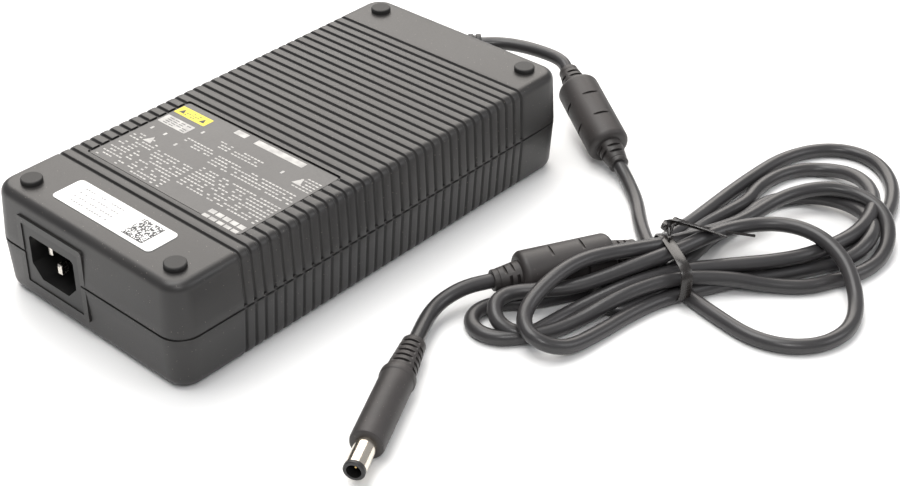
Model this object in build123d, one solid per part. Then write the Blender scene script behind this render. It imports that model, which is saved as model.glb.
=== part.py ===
# Laptop power adapter lying on its plain side, with its coiled low voltage lead beside it.
# Millimetres. Z is up, +X points at the lead end of the case, -X at the mains inlet end.
# The origin is the middle of the case's footprint, on the surface it lies on.
from build123d import *
import os
from math import atan, cos, degrees, pi, radians, sin, tan

os.makedirs("parts", exist_ok=True)

# ---- case ----
case_length = 200.0
case_width = 100.0
case_height = 43.2
split_height = 22.0
case_corner = 9.2
wall = 2.6
upper_draft = 1.2
lower_draft = 1.35
upper_edge_fillet = 3.6
lower_edge_fillet = 5.0
seam_gap = 0.7
seam_depth = 0.6
lip_thickness = 1.1
lip_height = 1.6
fit_clearance = 0.1

# ---- ribs pressed round the case ----
groove_pitch = 4.52
groove_width = 0.9
groove_depth = 0.7
groove_inlet_margin = 29.8
groove_lead_margin = 25.4

# ---- label recess and stickers ----
recess_length = 49.0
recess_width = 81.0
recess_depth = 0.8
recess_corner = 1.2
recess_from_end = 61.3
label_margin = 0.7
label_thickness = 0.3
sticker_length = 13.7
sticker_width = 52.2
sticker_corner = 2.0
sticker_thickness = 0.2
sticker_from_end = 16.7

# ---- feet and the screws under them ----
foot_from_end = 11.0
foot_from_side = 11.7
foot_diameter = 8.0
foot_height = 1.8
foot_pocket_depth = 2.2
collar_diameter = 10.7
collar_height = 1.2
boss_diameter = 8.4
screw_diameter = 3.0
screw_head_diameter = 5.4
screw_head_height = 1.8
screw_bite = 8.0
screw_slot_length = 3.0
screw_slot_width = 0.7

# ---- mains inlet ----
inlet_from_side = 33.4
inlet_below_split = 0.2
inlet_width = 31.0
inlet_height = 24.3
inlet_setback = 0.4
inlet_draft_allowance = 1.0
inlet_flange = 3.0
inlet_flange_rim = 2.0
inlet_body_width = 28.0
inlet_body_height = 20.6
inlet_body_length = 23.0
cavity_width = 24.6
cavity_height = 16.8
cavity_chamfer = 5.0
cavity_corner = 1.6
cavity_depth = 16.8
pad_border = 2.6
pad_corner = 1.4
pin_spacing = 7.0
pin_thickness = 2.0
pin_width = 4.0
pin_rise = 2.0
pin_tip_depth = 4.0
earth_tip_depth = 2.2
pin_tail = 5.0
pin_chamfer = 0.6

# ---- lead outlet ----
gland_from_side = 25.5
gland_neck = 11.8
gland_draft_allowance = 0.6
gland_flange = 15.0
gland_flange_thickness = 2.0
gland_bend_radius = 32.0
gland_bend_angle = 45.0
relief_rings = 9
relief_start_diameter = 11.0
relief_end_diameter = 8.4
relief_ring_thickness = 2.2
relief_core_diameter = 8.6

# ---- lead ----
usual_length = 200.0
usual_width = 100.0
cord_diameter = 5.5
ferrite_diameter = 17.0
ferrite_length = 36.0
ferrite_edge = 2.4
core_diameter = 13.0
core_bore = 7.0
core_length = 28.0
ferrite_relief_length = 10.0
ferrite_relief_base = 10.8
ferrite_relief_tip = 8.0
slot_width = 1.0
slot_depth = 1.0
relief_tip_ring = 2.0
relief_first_slot = 1.4
ferrite_slot_length = 7.0
ferrite_slot_depth = 0.7

# ---- plug ----
plug_relief_length = 18.0
plug_relief_tip = 8.6
plug_relief_base = 11.0
plug_collar_diameter = 12.6
plug_collar_length = 3.0
plug_diameter = 11.9
plug_length = 32.5
barrel_diameter = 7.4
barrel_bore = 5.0
barrel_length = 12.6
barrel_embed = 6.0
barrel_root_diameter = 6.6
barrel_root_wall = 0.3
barrel_floor = 2.0
barrel_lead_in = 0.3
tip_ring_length = 1.4
centre_pin_diameter = 0.7
centre_pin_setback = 2.0

# ---- electronics ----
board_from_inlet_end = 34.0
board_to_boss = 3.8
board_side_space = 10.0
board_thickness = 1.6
board_bottom = 9.0
sheet_thickness = 0.4
spreader_thickness = 0.8
spreader_air = 1.6
tray_height = 8.0
tray_margin = 1.5
spacer_diameter = 6.0
part_gap = 0.3
head_gap = 1.6
wire_diameter = 2.4
wire_from_edge = 4.0
sheet_margin = 4.0
tray_end_margin = 3.0
cover_end_margin = 2.0
spacer_from_end = 8.0
spacer_from_side = 6.0
can_edge = 0.8
can_dish = 0.3
can_dish_share = 0.6
fin_pitch = 6.0
fin_thickness = 1.2
fin_margin = 2.0
leg_width = 0.8
leg_thickness = 0.6
package_width = 10.0
bridge_width = 20.0
rectifier_width = 15.0
fuse_size = (6.0, 6.0)
filter_capacitor_size = (22.0, 8.0, 17.0)
filter_choke_size = (22.0, 12.0, 10.0)
boost_choke_size = (26.0, 14.0, 12.0)
choke_wire = 1.5
bulk_capacitor_diameter = 22.0
output_capacitor_size = (10.0, 20.0)
transformer_size = (38.0, 26.0)
transformer_leg = 10.0
transformer_yoke = 5.0
winding_overhang = 6.0
heatsink_thickness = 2.5
heatsink_fin = 3.0
heatsink_from_edge = 7.0
package_thickness = 4.6
package_leg_height = 4.0
package_height = 16.0
package_leg_pitch = 2.54

# Places on the board: distance from its inlet edge, and y.
fuse_spot = (26.0, 22.0)
filter_capacitor_spot = (25.0, -22.0)
filter_choke_spot = (28.0, 0.0)
boost_choke_spot = (62.0, -14.0)
bulk_capacitor_spot = (57.0, 14.0)
transformer_spot = (96.0, 4.0)
output_capacitor_spots = [(128.0, -20.0), (128.0, -7.0), (128.0, 6.0)]
primary_heatsink_span = (36.0, 96.0)
secondary_heatsink_span = (86.0, 142.0)
bridge_spot = 44.0
transistor_spots = (68.0, 84.0)
rectifier_spot = 106.0

half_length = case_length / 2
half_width = case_width / 2
upper_height = case_height - split_height
upper_taper = degrees(atan(upper_draft / upper_height))
lower_taper = degrees(atan(lower_draft / split_height))
groove_start = -half_length + groove_inlet_margin
groove_count = int((case_length - groove_inlet_margin - groove_lead_margin) / groove_pitch) + 1
recess_centre_x = -half_length + recess_from_end
sticker_centre_x = -half_length + sticker_from_end
foot_x = half_length - foot_from_end
foot_y = half_width - foot_from_side
inlet_y = half_width - inlet_from_side
inlet_z = split_height - inlet_below_split
gland_y = half_width - gland_from_side
gland_z = split_height
board_left = -half_length + board_from_inlet_end
board_right = foot_x - boss_diameter / 2 - board_to_boss
board_width = case_width - 2 * board_side_space
board_top = board_bottom + board_thickness
spreader_top = case_height - wall - spreader_air
head_room = spreader_top - spreader_thickness - board_top - head_gap
feet = [(x, y) for x in (-foot_x, foot_x) for y in (-foot_y, foot_y)]


def save(shape, name, color):
    shape.label = name
    shape.color = Color(color)
    export_step(shape, f"parts/{name}.step")


def box(x0, x1, y0, y1, z0, z1):
    centre = ((x0 + x1) / 2, (y0 + y1) / 2, (z0 + z1) / 2)
    return Pos(*centre) * Box(x1 - x0, y1 - y0, z1 - z0)


def rod(x, y, z0, z1, diameter):
    return Pos(x, y, (z0 + z1) / 2) * Cylinder(diameter / 2, z1 - z0)


def along(origin, direction):
    """A plane whose Z axis runs along a direction, with its X axis level."""
    level = Vector(-direction.Y, direction.X, 0)
    return Plane(origin=origin, x_dir=level, z_dir=direction)


# ---------------------------------------------------------------- case shells
def half_shell_solid(inset, side):
    """One tapered half of the case, shrunk all round by an inset."""
    height = (upper_height if side > 0 else split_height) - inset
    taper = upper_taper if side > 0 else lower_taper
    outline = RectangleRounded(case_length - 2 * inset, case_width - 2 * inset, case_corner - inset)
    solid = extrude(Pos(0, 0, split_height) * outline, side * height, taper=taper)
    edge_fillet = (upper_edge_fillet if side > 0 else lower_edge_fillet) - inset
    if edge_fillet > 0.3:
        flat = solid.faces().sort_by(Axis.Z)[-1 if side > 0 else 0]
        solid = fillet(flat.edges(), edge_fillet)
    return solid


def groove_cutters(side):
    """Thin slabs that cut each groove round one half of the case."""
    reach = 3.0
    half = half_shell_solid(0, side)
    middle = half & box(-groove_width / 2, groove_width / 2, -case_width, case_width, -reach, case_height + reach)
    section = middle.faces().sort_by(Axis.X)[-1]
    inner = offset(section, -groove_depth)
    low = split_height if side > 0 else -reach
    high = case_height + reach if side > 0 else split_height
    slab = box(-groove_width / 2, groove_width / 2, -half_width - reach, half_width + reach, low, high)
    core = extrude(inner, 2 * groove_width, both=True)
    trim = core & box(-groove_width, groove_width, -case_width, case_width, low, high)
    plug_zone = box(-groove_width, groove_width, -half_width + 3, half_width - 3,
                    split_height - 3, split_height + 3)
    cutter = slab - trim - plug_zone
    return [Pos(groove_start + i * groove_pitch, 0, 0) * cutter for i in range(groove_count)]


def seam_cutter():
    """A shallow groove round the case where the two halves meet."""
    outer = RectangleRounded(case_length + 4, case_width + 4, case_corner + 2)
    inner = RectangleRounded(case_length - 2 * seam_depth, case_width - 2 * seam_depth, case_corner - seam_depth)
    ring = extrude(Pos(0, 0, split_height - seam_gap / 2) * (outer - inner), seam_gap)
    pad_zone = box(-half_length - 5, -half_length + 5, inlet_y - inlet_width / 2 - fit_clearance,
                   inlet_y + inlet_width / 2 + fit_clearance, 0, case_height)
    return ring - pad_zone


def lip(clearance):
    """The tongue of the lower half, or the rebate for it when given a clearance."""
    outer_inset = wall - lip_thickness - clearance
    inner_inset = wall + clearance
    outer = RectangleRounded(case_length - 2 * outer_inset, case_width - 2 * outer_inset, case_corner - outer_inset)
    inner = RectangleRounded(case_length - 2 * inner_inset, case_width - 2 * inner_inset, case_corner - inner_inset)
    ring = extrude(Pos(0, 0, split_height) * (outer - inner), lip_height + clearance)
    return ring - inlet_window(3.0) - gland_bore(3.0)


def inlet_pad():
    width = inlet_width + 2 * pad_border
    height = inlet_height + 2 * pad_border
    pad = Pos(-half_length + wall / 2, inlet_y, inlet_z) * Box(wall, width, height)
    return fillet(pad.edges().filter_by(Axis.X), pad_corner)


def inlet_window(clearance):
    return Pos(-half_length, inlet_y, inlet_z) * Box(
        6 * wall, inlet_width + 2 * clearance, inlet_height + 2 * clearance)


def gland_bore(clearance):
    return Pos(half_length, gland_y, gland_z) * Rot(0, 90, 0) * Cylinder(
        gland_neck / 2 + clearance, 6 * wall)


def foot_collar(x, y):
    ring = rod(x, y, case_height - 1, case_height + collar_height, collar_diameter)
    return chamfer(ring.edges().sort_by(Axis.Z)[-1], 0.5)


def upper_shell():
    shell = half_shell_solid(0, 1) - half_shell_solid(wall, 1)
    shell += inlet_pad() & box(-half_length - 1, 0, -half_width, half_width, split_height, case_height)
    for cutter in groove_cutters(1):
        shell -= cutter
    recess = extrude(Pos(recess_centre_x, 0, case_height - recess_depth)
                     * RectangleRounded(recess_length, recess_width, recess_corner), 5)
    shell -= recess
    shell -= seam_cutter()
    shell -= lip(fit_clearance)
    inside = half_shell_solid(wall / 2, 1)
    for x, y in feet:
        shell += foot_collar(x, y)
        shell += rod(x, y, split_height + fit_clearance, case_height - wall / 2, boss_diameter) & inside
    for x, y in feet:
        shell -= rod(x, y, case_height - foot_pocket_depth, case_height + 5, foot_diameter + 2 * fit_clearance)
        shell -= rod(x, y, case_height - foot_pocket_depth - screw_head_height - 1, case_height,
                     screw_head_diameter + 2 * fit_clearance)
        shell -= rod(x, y, split_height - 5, case_height, screw_diameter + 2 * fit_clearance)
    return shell - inlet_window(fit_clearance) - gland_bore(0)


def lower_shell():
    shell = half_shell_solid(0, -1) - half_shell_solid(wall, -1)
    shell += inlet_pad() & box(-half_length - 1, 0, -half_width, half_width, 0, split_height)
    for cutter in groove_cutters(-1):
        shell -= cutter
    shell += lip(0)
    shell -= seam_cutter()
    inside = half_shell_solid(wall / 2, -1)
    for x, y in feet:
        shell += rod(x, y, wall / 2, split_height, boss_diameter) & inside
    for x, y in feet:
        shell -= rod(x, y, screw_tip_height(), split_height + 5, screw_diameter)
    return shell - inlet_window(fit_clearance) - gland_bore(0)


def screw_seat_height():
    return case_height - foot_pocket_depth - screw_head_height - 1


def screw_tip_height():
    return split_height - screw_bite


def case_screws():
    screws = []
    for x, y in feet:
        seat = screw_seat_height()
        head = rod(x, y, seat, seat + screw_head_height, screw_head_diameter)
        slot_place = Pos(x, y, seat + screw_head_height)
        slot_long = slot_place * Box(screw_slot_length, screw_slot_width, 2 * screw_slot_width)
        slot_cross = slot_place * Box(screw_slot_width, screw_slot_length, 2 * screw_slot_width)
        screws.append(head + rod(x, y, screw_tip_height(), seat, screw_diameter) - slot_long - slot_cross)
    return Compound(children=screws)


def rubber_foot(x, y):
    foot = rod(x, y, case_height - foot_pocket_depth, case_height + foot_height, foot_diameter)
    return fillet(foot.edges().sort_by(Axis.Z)[-1], 0.6)


def rating_label():
    face = RectangleRounded(recess_length - 2 * label_margin, recess_width - 2 * label_margin, recess_corner)
    return extrude(Pos(recess_centre_x, 0, case_height - recess_depth) * face, label_thickness)


def end_sticker():
    face = RectangleRounded(sticker_length, sticker_width, sticker_corner)
    return extrude(Pos(sticker_centre_x, 0, case_height) * face, sticker_thickness)


# ---------------------------------------------------------------- mains inlet
def cavity_outline():
    half_w = cavity_width / 2
    half_h = cavity_height / 2
    cut = cavity_chamfer
    outline = Polyline((-half_w, half_h), (half_w, half_h), (half_w, -half_h + cut),
                       (half_w - cut, -half_h), (-half_w + cut, -half_h), (-half_w, -half_h + cut), close=True)
    face = make_face(outline)
    return fillet(face.vertices().group_by(Axis.Y)[-1], cavity_corner)


def inlet_body():
    face_x = -half_length + inlet_setback
    rim_x = -half_length + wall + inlet_draft_allowance
    front = box(face_x, rim_x, inlet_y - inlet_width / 2, inlet_y + inlet_width / 2,
                inlet_z - inlet_height / 2, inlet_z + inlet_height / 2)
    rim = box(rim_x, rim_x + inlet_flange, inlet_y - inlet_width / 2 - inlet_flange_rim,
              inlet_y + inlet_width / 2 + inlet_flange_rim, inlet_z - inlet_height / 2 - inlet_flange_rim,
              inlet_z + inlet_height / 2 + inlet_flange_rim)
    rear = box(rim_x, face_x + inlet_body_length, inlet_y - inlet_body_width / 2, inlet_y + inlet_body_width / 2,
               inlet_z - inlet_body_height / 2, inlet_z + inlet_body_height / 2)
    mouth = Plane(origin=(face_x, inlet_y, inlet_z), x_dir=(0, -1, 0), z_dir=(-1, 0, 0))
    cavity = extrude(mouth * cavity_outline(), -cavity_depth)
    body = front + rim + rear - cavity
    for y, z, tip in pin_places():
        body -= pin_blade(y, z, tip)
    return body


def pin_places():
    line_z = inlet_z + pin_rise
    earth_z = inlet_z - pin_rise
    return [(inlet_y + pin_spacing, line_z, pin_tip_depth), (inlet_y - pin_spacing, line_z, pin_tip_depth),
            (inlet_y, earth_z, earth_tip_depth)]


def pin_blade(y, z, tip_depth):
    face_x = -half_length + inlet_setback
    start = face_x + tip_depth
    end = face_x + inlet_body_length + pin_tail
    blade = Pos((start + end) / 2, y, z) * Box(end - start, pin_thickness, pin_width)
    tip_edges = blade.faces().sort_by(Axis.X)[0].edges()
    return chamfer(tip_edges, pin_chamfer)


# ---------------------------------------------------------------- lead outlet
def gland_arc_point(angle):
    """Centre of the strain relief after it has bent by an angle, and its direction there."""
    start_x = half_length + gland_flange_thickness
    x = start_x + gland_bend_radius * sin(radians(angle))
    y = gland_y - gland_bend_radius * (1 - cos(radians(angle)))
    return Vector(x, y, gland_z), Vector(cos(radians(angle)), -sin(radians(angle)), 0)


def gland_inner_face():
    """Where the gland's inner flange ends, inside the case."""
    return half_length - wall - gland_draft_allowance - gland_flange_thickness


def cord_gland():
    axis = Pos(0, gland_y, gland_z) * Rot(0, 90, 0)
    inner_end = gland_inner_face()
    neck_length = half_length - inner_end
    inner = axis * Pos(0, 0, inner_end + gland_flange_thickness / 2) * Cylinder(
        gland_flange / 2, gland_flange_thickness)
    neck = axis * Pos(0, 0, inner_end + neck_length / 2) * Cylinder(gland_neck / 2, neck_length)
    outer = axis * Pos(0, 0, half_length + gland_flange_thickness / 2) * Cylinder(
        gland_flange / 2, gland_flange_thickness)
    gland = inner + neck + outer
    spine = RadiusArc(gland_arc_point(0)[0], gland_arc_point(gland_bend_angle)[0], gland_bend_radius)
    gland += sweep(Plane(origin=spine @ 0, z_dir=spine % 0) * Circle(relief_core_diameter / 2), path=spine)
    for i in range(relief_rings):
        share = i / (relief_rings - 1)
        point, direction = gland_arc_point(gland_bend_angle * share)
        diameter = relief_start_diameter + (relief_end_diameter - relief_start_diameter) * share
        shift = -relief_ring_thickness / 2
        if i == 0:
            shift = 0
        elif i == relief_rings - 1:
            shift = -relief_ring_thickness
        ring = extrude(along(point + direction * shift, direction) * Circle(diameter / 2), relief_ring_thickness)
        gland += ring
    return gland


# ---------------------------------------------------------------- lead
def cord_radii(points):
    """Bend radius at each corner of a route: as large as its two runs allow."""
    radii = []
    for before, corner, after in zip(points, points[1:], points[2:]):
        run_in = corner - before
        run_out = after - corner
        turn = run_in.get_angle(run_out)
        shorter = min(run_in.length, run_out.length)
        radii.append(0.45 * shorter / tan(radians(turn / 2)))
    return radii


def cord_tube(name, route):
    radii = cord_radii(route)
    path = FilletPolyline(*route, radius=radii)
    tube = sweep(Plane(origin=path @ 0, z_dir=path % 0) * Circle(cord_diameter / 2), path=path)
    expected = path.length * pi * cord_diameter ** 2 / 4
    rounded = ", ".join(f"{r:.0f}" for r in radii)
    print(f"{name}: length {path.length:.1f}, radii {rounded}, volume over section x length "
          f"{tube.volume / expected:.3f}")
    return tube


def laid(x, y, z=0.0):
    """A place of the lead, chosen beside the usual case and kept beside its corner on a larger or smaller one."""
    return Vector(x + half_length - usual_length / 2, y - half_width + usual_width / 2, z)


relief_end, relief_heading = gland_arc_point(gland_bend_angle)

# Each ferrite: the end of its body nearer the case or the plug, and the direction of its axis.
ferrite_1_start = laid(127.8, -35.4, 18.3)
ferrite_1_axis = Vector(-0.474, -0.843, -0.256).normalized()
ferrite_2_start = laid(19.7, -93.5, ferrite_diameter / 2)
ferrite_2_axis = Vector(0.886, -0.463, 0).normalized()

# The plug lies on its collar and points away from the lead.
plug_start = laid(-32.4, -91.1, plug_collar_diameter / 2)
plug_axis = Vector(-0.898, -0.440, 0).normalized()


def ferrite_entry(start, axis):
    return start - axis * ferrite_relief_length


def ferrite_exit(start, axis):
    return start + axis * (ferrite_length + ferrite_relief_length)


lead_in = ferrite_entry(ferrite_1_start, ferrite_1_axis)
lead_out = ferrite_exit(ferrite_1_start, ferrite_1_axis)
tail_in = ferrite_entry(ferrite_2_start, ferrite_2_axis)
tail_out = ferrite_exit(ferrite_2_start, ferrite_2_axis)

# Each route starts and ends with a run along the axis of the piece that it leaves or meets.
first_route = [relief_end, relief_end + relief_heading * 9.3, laid(136.2, 0.6, 22.4),
               laid(138.6, -9.2, 23.2), lead_in - ferrite_1_axis * 9.3, lead_in]
middle_route = [lead_out, lead_out + ferrite_1_axis * 9.0, laid(94.2, -91.6, 2.76),
                laid(83.2, -101.0, 2.75), laid(73.8, -111.0, 2.76)]
tail_route = [tail_in, tail_in - ferrite_2_axis * 10.0, laid(-7.5, -81.9, 6.9),
              laid(-16.2, -83.2, 5.8), plug_start - plug_axis * 9.0, plug_start]


def relief(length, base, tip, slots):
    """A tapered strain relief from z=0 (base) to z=length (tip), with slots across it."""
    taper_length = length - relief_tip_ring
    cone = Pos(0, 0, taper_length / 2) * Cone(base / 2, tip / 2, taper_length)
    ring = Pos(0, 0, length - relief_tip_ring / 2) * Cylinder(tip / 2, relief_tip_ring)
    body = cone + ring
    step = (taper_length - slot_width) / (slots + 0.5)
    slot_length = 0.62 * base
    for i in range(slots):
        z = relief_first_slot + step * i
        reach = base / 2 + (tip - base) / 2 * z / length
        for side in (-1, 1):
            flat = Pos(side * reach, 0, z) * Box(2 * slot_depth, slot_length, slot_width)
            across = Pos(0, side * reach, z + step / 2) * Box(slot_length, 2 * slot_depth, slot_width)
            body -= flat + across
    return body


def ferrite_overmould(start, axis):
    """Moulded sleeve with a strain relief at each end, hollow for its core and the lead."""
    body = Pos(0, 0, ferrite_length / 2) * Cylinder(ferrite_diameter / 2, ferrite_length)
    body = fillet(body.edges().filter_by(GeomType.CIRCLE), ferrite_edge)
    notch = Pos(ferrite_diameter / 2, 0, 0) * Box(2 * ferrite_slot_depth, ferrite_slot_length, slot_width)
    for share in (1 / 3, 2 / 3):
        for angle in range(0, 360, 90):
            body -= Pos(0, 0, ferrite_length * share) * Rot(0, 0, angle) * notch
    ends = relief(ferrite_relief_length, ferrite_relief_base, ferrite_relief_tip, 2)
    body += Pos(0, 0, ferrite_length) * ends
    body += Rot(180, 0, 0) * ends
    middle = Pos(0, 0, ferrite_length / 2)
    hollow = middle * (Cylinder(core_diameter / 2, core_length) - Cylinder(core_bore / 2, core_length))
    passage = middle * Cylinder(cord_diameter / 2, ferrite_length + 2 * ferrite_relief_length)
    return along(start, axis) * (body - hollow - passage)


def ferrite_core(start, axis):
    ring = Cylinder(core_diameter / 2, core_length) - Cylinder(core_bore / 2, core_length)
    return along(start + axis * (ferrite_length / 2), axis) * ring


def cord_slug(start, axis):
    length = ferrite_length + 2 * ferrite_relief_length
    return along(start + axis * (ferrite_length / 2), axis) * Cylinder(cord_diameter / 2, length)


# The tied hank in plan: centre and radius of its tied middle and of each round end.
hank_waist = (laid(60.0, -129.0), 19.0)
hank_lobes = [(laid(153.0, -140.0), 32.0), (laid(124.0, -154.0), 32.0), (laid(79.0, -164.0), 35.0),
              (laid(4.0, -104.0), 19.0), (laid(12.0, -117.0), 19.0)]
hank_height = 14.0
waist_height = 18.0
hank_air = 1.0
arrival_length = 30.0
tie_width = 4.0
tie_thickness = 0.9
tie_angle = -34.0
tie_reach = hank_waist[1] - 3
knot_length = 7.0
knot_height = 3.0
knot_offset = 6.0


def round_hull(first, second):
    circles = [Pos(centre) * Circle(radius) for centre, radius in (first, second)]
    return make_hull([edge for circle in circles for edge in circle.edges()])


def hank_outline():
    outline = Sketch()
    for lobe in hank_lobes:
        outline += round_hull(lobe, hank_waist)
    return outline


def tie_place():
    return Pos(hank_waist[0]) * Rot(0, 0, tie_angle)


def cord_hank():
    hank = extrude(hank_outline(), hank_height)
    hank += extrude(Pos(hank_waist[0]) * Circle(hank_waist[1] - hank_air), waist_height)
    reach = case_length
    beside = Pos(0, 0, -reach / 2) * Box(ferrite_diameter + hank_air, reach, reach)
    beside = along(tail_out, ferrite_2_axis) * beside
    lead_run = middle_route[-1] - middle_route[-2]
    arrival = Pos(0, 0, -arrival_length / 2) * Box(3 * cord_diameter, reach, arrival_length)
    arrival = along(middle_route[-1], lead_run.normalized()) * arrival
    return hank - beside - clear_of_tail() - arrival - tie_room()


def clear_of_tail():
    """Room for the second ferrite's relief and the lead that runs from it to the plug."""
    front = tail_in.Y - hank_air / 8
    return box(-half_length, ferrite_2_start.X, front, 0, -1, case_height)


def bundle_in_tie():
    """The part of the bundle that the twist tie goes round."""
    return Pos(0, 0, waist_height / 2) * Box(tie_width, 2 * tie_reach, waist_height - 2 * tie_thickness)


def tie_room():
    """What the bundle leaves free for the twist tie."""
    return tie_place() * (Box(tie_width, case_width, case_width) - bundle_in_tie())


def twist_tie():
    strap = Pos(0, 0, waist_height / 2) * Box(tie_width, 2 * (tie_reach + tie_thickness), waist_height)
    knot = Pos(0, knot_offset, waist_height + knot_height / 2) * Box(tie_width, knot_length, knot_height)
    return tie_place() * (strap - bundle_in_tie() + knot)


# ---------------------------------------------------------------- plug
def plug_overmould():
    ends = relief(plug_relief_length, plug_relief_base, plug_relief_tip, 5)
    body = Pos(0, 0, plug_relief_length) * Rot(180, 0, 0) * ends
    collar = Pos(0, 0, plug_relief_length + plug_collar_length / 2) * Cylinder(
        plug_collar_diameter / 2, plug_collar_length)
    grip_start = plug_relief_length + plug_collar_length
    grip = Pos(0, 0, grip_start + plug_length / 2) * Cylinder(plug_diameter / 2, plug_length)
    body += chamfer(collar.edges().filter_by(GeomType.CIRCLE), 0.5) + grip
    end = grip_start + plug_length
    socket = Pos(0, 0, end - barrel_embed / 2) * Cylinder(barrel_root_diameter / 2, barrel_embed)
    return along(plug_start, plug_axis) * (body - socket)


def barrel_end():
    return plug_relief_length + plug_collar_length + plug_length + barrel_length


def barrel_sleeve():
    """Contact sleeve with a narrower root held in the overmould."""
    root_end = barrel_end() - barrel_length
    end = barrel_end() - tip_ring_length
    root = rod(0, 0, root_end - barrel_embed, root_end, barrel_root_diameter)
    root -= rod(0, 0, root_end - barrel_embed, root_end, barrel_root_diameter - 2 * barrel_root_wall)
    tube = rod(0, 0, root_end, end, barrel_diameter)
    tube -= rod(0, 0, root_end, end, barrel_root_diameter - 2 * barrel_root_wall)
    return along(plug_start, plug_axis) * (root + tube)


def barrel_insulator():
    """Liner of the sleeve, with a collar that forms the plug's tip."""
    end = barrel_end()
    start = end - barrel_length - barrel_embed
    liner = rod(0, 0, start, end - tip_ring_length, barrel_root_diameter - 2 * barrel_root_wall)
    ring = rod(0, 0, end - tip_ring_length, end, barrel_diameter)
    ring = chamfer(ring.edges().sort_by(Axis.Z)[-1], barrel_lead_in)
    bore = rod(0, 0, start + barrel_floor, end, barrel_bore)
    return along(plug_start, plug_axis) * (liner + ring - bore - centre_pin_local())


def centre_pin_local():
    start = barrel_end() - barrel_embed - barrel_length + barrel_floor / 4
    return rod(0, 0, start, barrel_end() - centre_pin_setback, centre_pin_diameter)


def centre_pin():
    return along(plug_start, plug_axis) * centre_pin_local()


# ---------------------------------------------------------------- inside the case
tray_side = board_width / 2 + tray_margin
tray_bottom = wall + sheet_thickness
primary_face = board_width / 2 - heatsink_from_edge
secondary_face = -board_width / 2 + heatsink_from_edge


def insulation_sheet():
    side = tray_side + 2 * part_gap
    return box(board_left - sheet_margin, board_right, -side, side, wall, tray_bottom)


def heat_spreader_tray():
    left = board_left - tray_end_margin
    right = board_right - spreader_thickness
    inner_side = tray_side - spreader_thickness
    outer = box(left, right, -tray_side, tray_side, tray_bottom, tray_bottom + tray_height)
    inner = box(left - 1, right + 1, -inner_side, inner_side,
                tray_bottom + spreader_thickness, tray_bottom + tray_height + 1)
    return outer - inner


def heat_spreader_cover():
    """A channel over the parts, with its sides against the outside of the tray."""
    side = tray_side + spreader_thickness
    low = tray_bottom + tray_height / 2
    left = board_left + cover_end_margin
    right = board_right - cover_end_margin
    outer = box(left, right, -side, side, low, spreader_top)
    inner = box(left - 1, right + 1, -tray_side, tray_side, low - 1, spreader_top - spreader_thickness)
    return outer - inner


def board_spacers():
    low = tray_bottom + spreader_thickness
    across = board_width / 2 - spacer_from_side
    ends = (board_left + spacer_from_end, board_right - spacer_from_end)
    places = [(x, y) for x in ends for y in (-across, across)]
    return Compound(children=[rod(x, y, low, board_bottom, spacer_diameter) for x, y in places])


def circuit_board():
    return box(board_left, board_right, -board_width / 2, board_width / 2, board_bottom, board_top)


def input_fuse():
    diameter, height = fuse_size
    from_left, y = fuse_spot
    return rod(board_left + from_left, y, board_top, board_top + height, diameter)


def line_filter_capacitor():
    length, width, height = filter_capacitor_size
    from_left, y = filter_capacitor_spot
    x = board_left + from_left
    return box(x - length / 2, x + length / 2, y - width / 2, y + width / 2, board_top, board_top + height)


def standing_can(spot, diameter, height):
    """A round capacitor with a crimped, dished top."""
    x = board_left + spot[0]
    top = board_top + height
    can = rod(x, spot[1], board_top, top, diameter)
    can = fillet(can.edges().sort_by(Axis.Z)[-1], can_edge)
    return can - rod(x, spot[1], top - can_dish, top + 1, can_dish_share * diameter)


def toroid_core(spot, size):
    outer, inner, height = size
    x = board_left + spot[0]
    low = board_top + choke_wire
    return rod(x, spot[1], low, low + height, outer) - rod(x, spot[1], low, low + height, inner)


def toroid_winding(spot, size, sectors):
    """Copper wound round a ring core, as one block for each wound sector."""
    outer, inner, height = size
    x = board_left + spot[0]
    y = spot[1]
    high = board_top + height + 2 * choke_wire
    wound = rod(x, y, board_top, high, outer + 2 * choke_wire)
    wound -= rod(x, y, board_top, high, inner - 2 * choke_wire)
    wound -= toroid_core(spot, size)
    blocks = []
    for middle, spread in sectors:
        angles = [middle + share * spread for share in (-1, -0.5, 0, 0.5, 1)]
        rim = [(outer * cos(radians(a)), outer * sin(radians(a))) for a in angles]
        wedge = make_face(Polyline((0, 0), *rim, close=True))
        blocks.append(wound & (Pos(x, y, board_top) * extrude(wedge, height + 3 * choke_wire)))
    return Compound(children=blocks) if len(blocks) > 1 else blocks[0]


def transformer_window():
    """Width of each opening of the core, between its middle and outer legs."""
    return (transformer_size[0] - transformer_leg) / 2 - transformer_yoke


def transformer_core():
    length, width = transformer_size
    x = board_left + transformer_spot[0]
    y = transformer_spot[1]
    window = transformer_window()
    core = box(x - length / 2, x + length / 2, y - width / 2, y + width / 2, board_top, board_top + head_room)
    for side in (-1, 1):
        centre = x + side * (transformer_leg / 2 + window / 2)
        core -= box(centre - window / 2, centre + window / 2, y - width, y + width,
                    board_top + transformer_yoke, board_top + head_room - transformer_yoke)
    return core


def transformer_winding():
    width = transformer_size[1]
    x = board_left + transformer_spot[0]
    y = transformer_spot[1]
    reach = transformer_leg / 2 + transformer_window()
    low = board_top + transformer_yoke
    high = board_top + head_room - transformer_yoke
    side = width / 2 + winding_overhang
    coil = box(x - reach, x + reach, y - side, y + side, low, high)
    coil = fillet(coil.edges().filter_by(Axis.Z), 0.6 * winding_overhang)
    leg = box(x - transformer_leg / 2, x + transformer_leg / 2, y - width / 2, y + width / 2, low, high)
    return coil - leg


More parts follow.
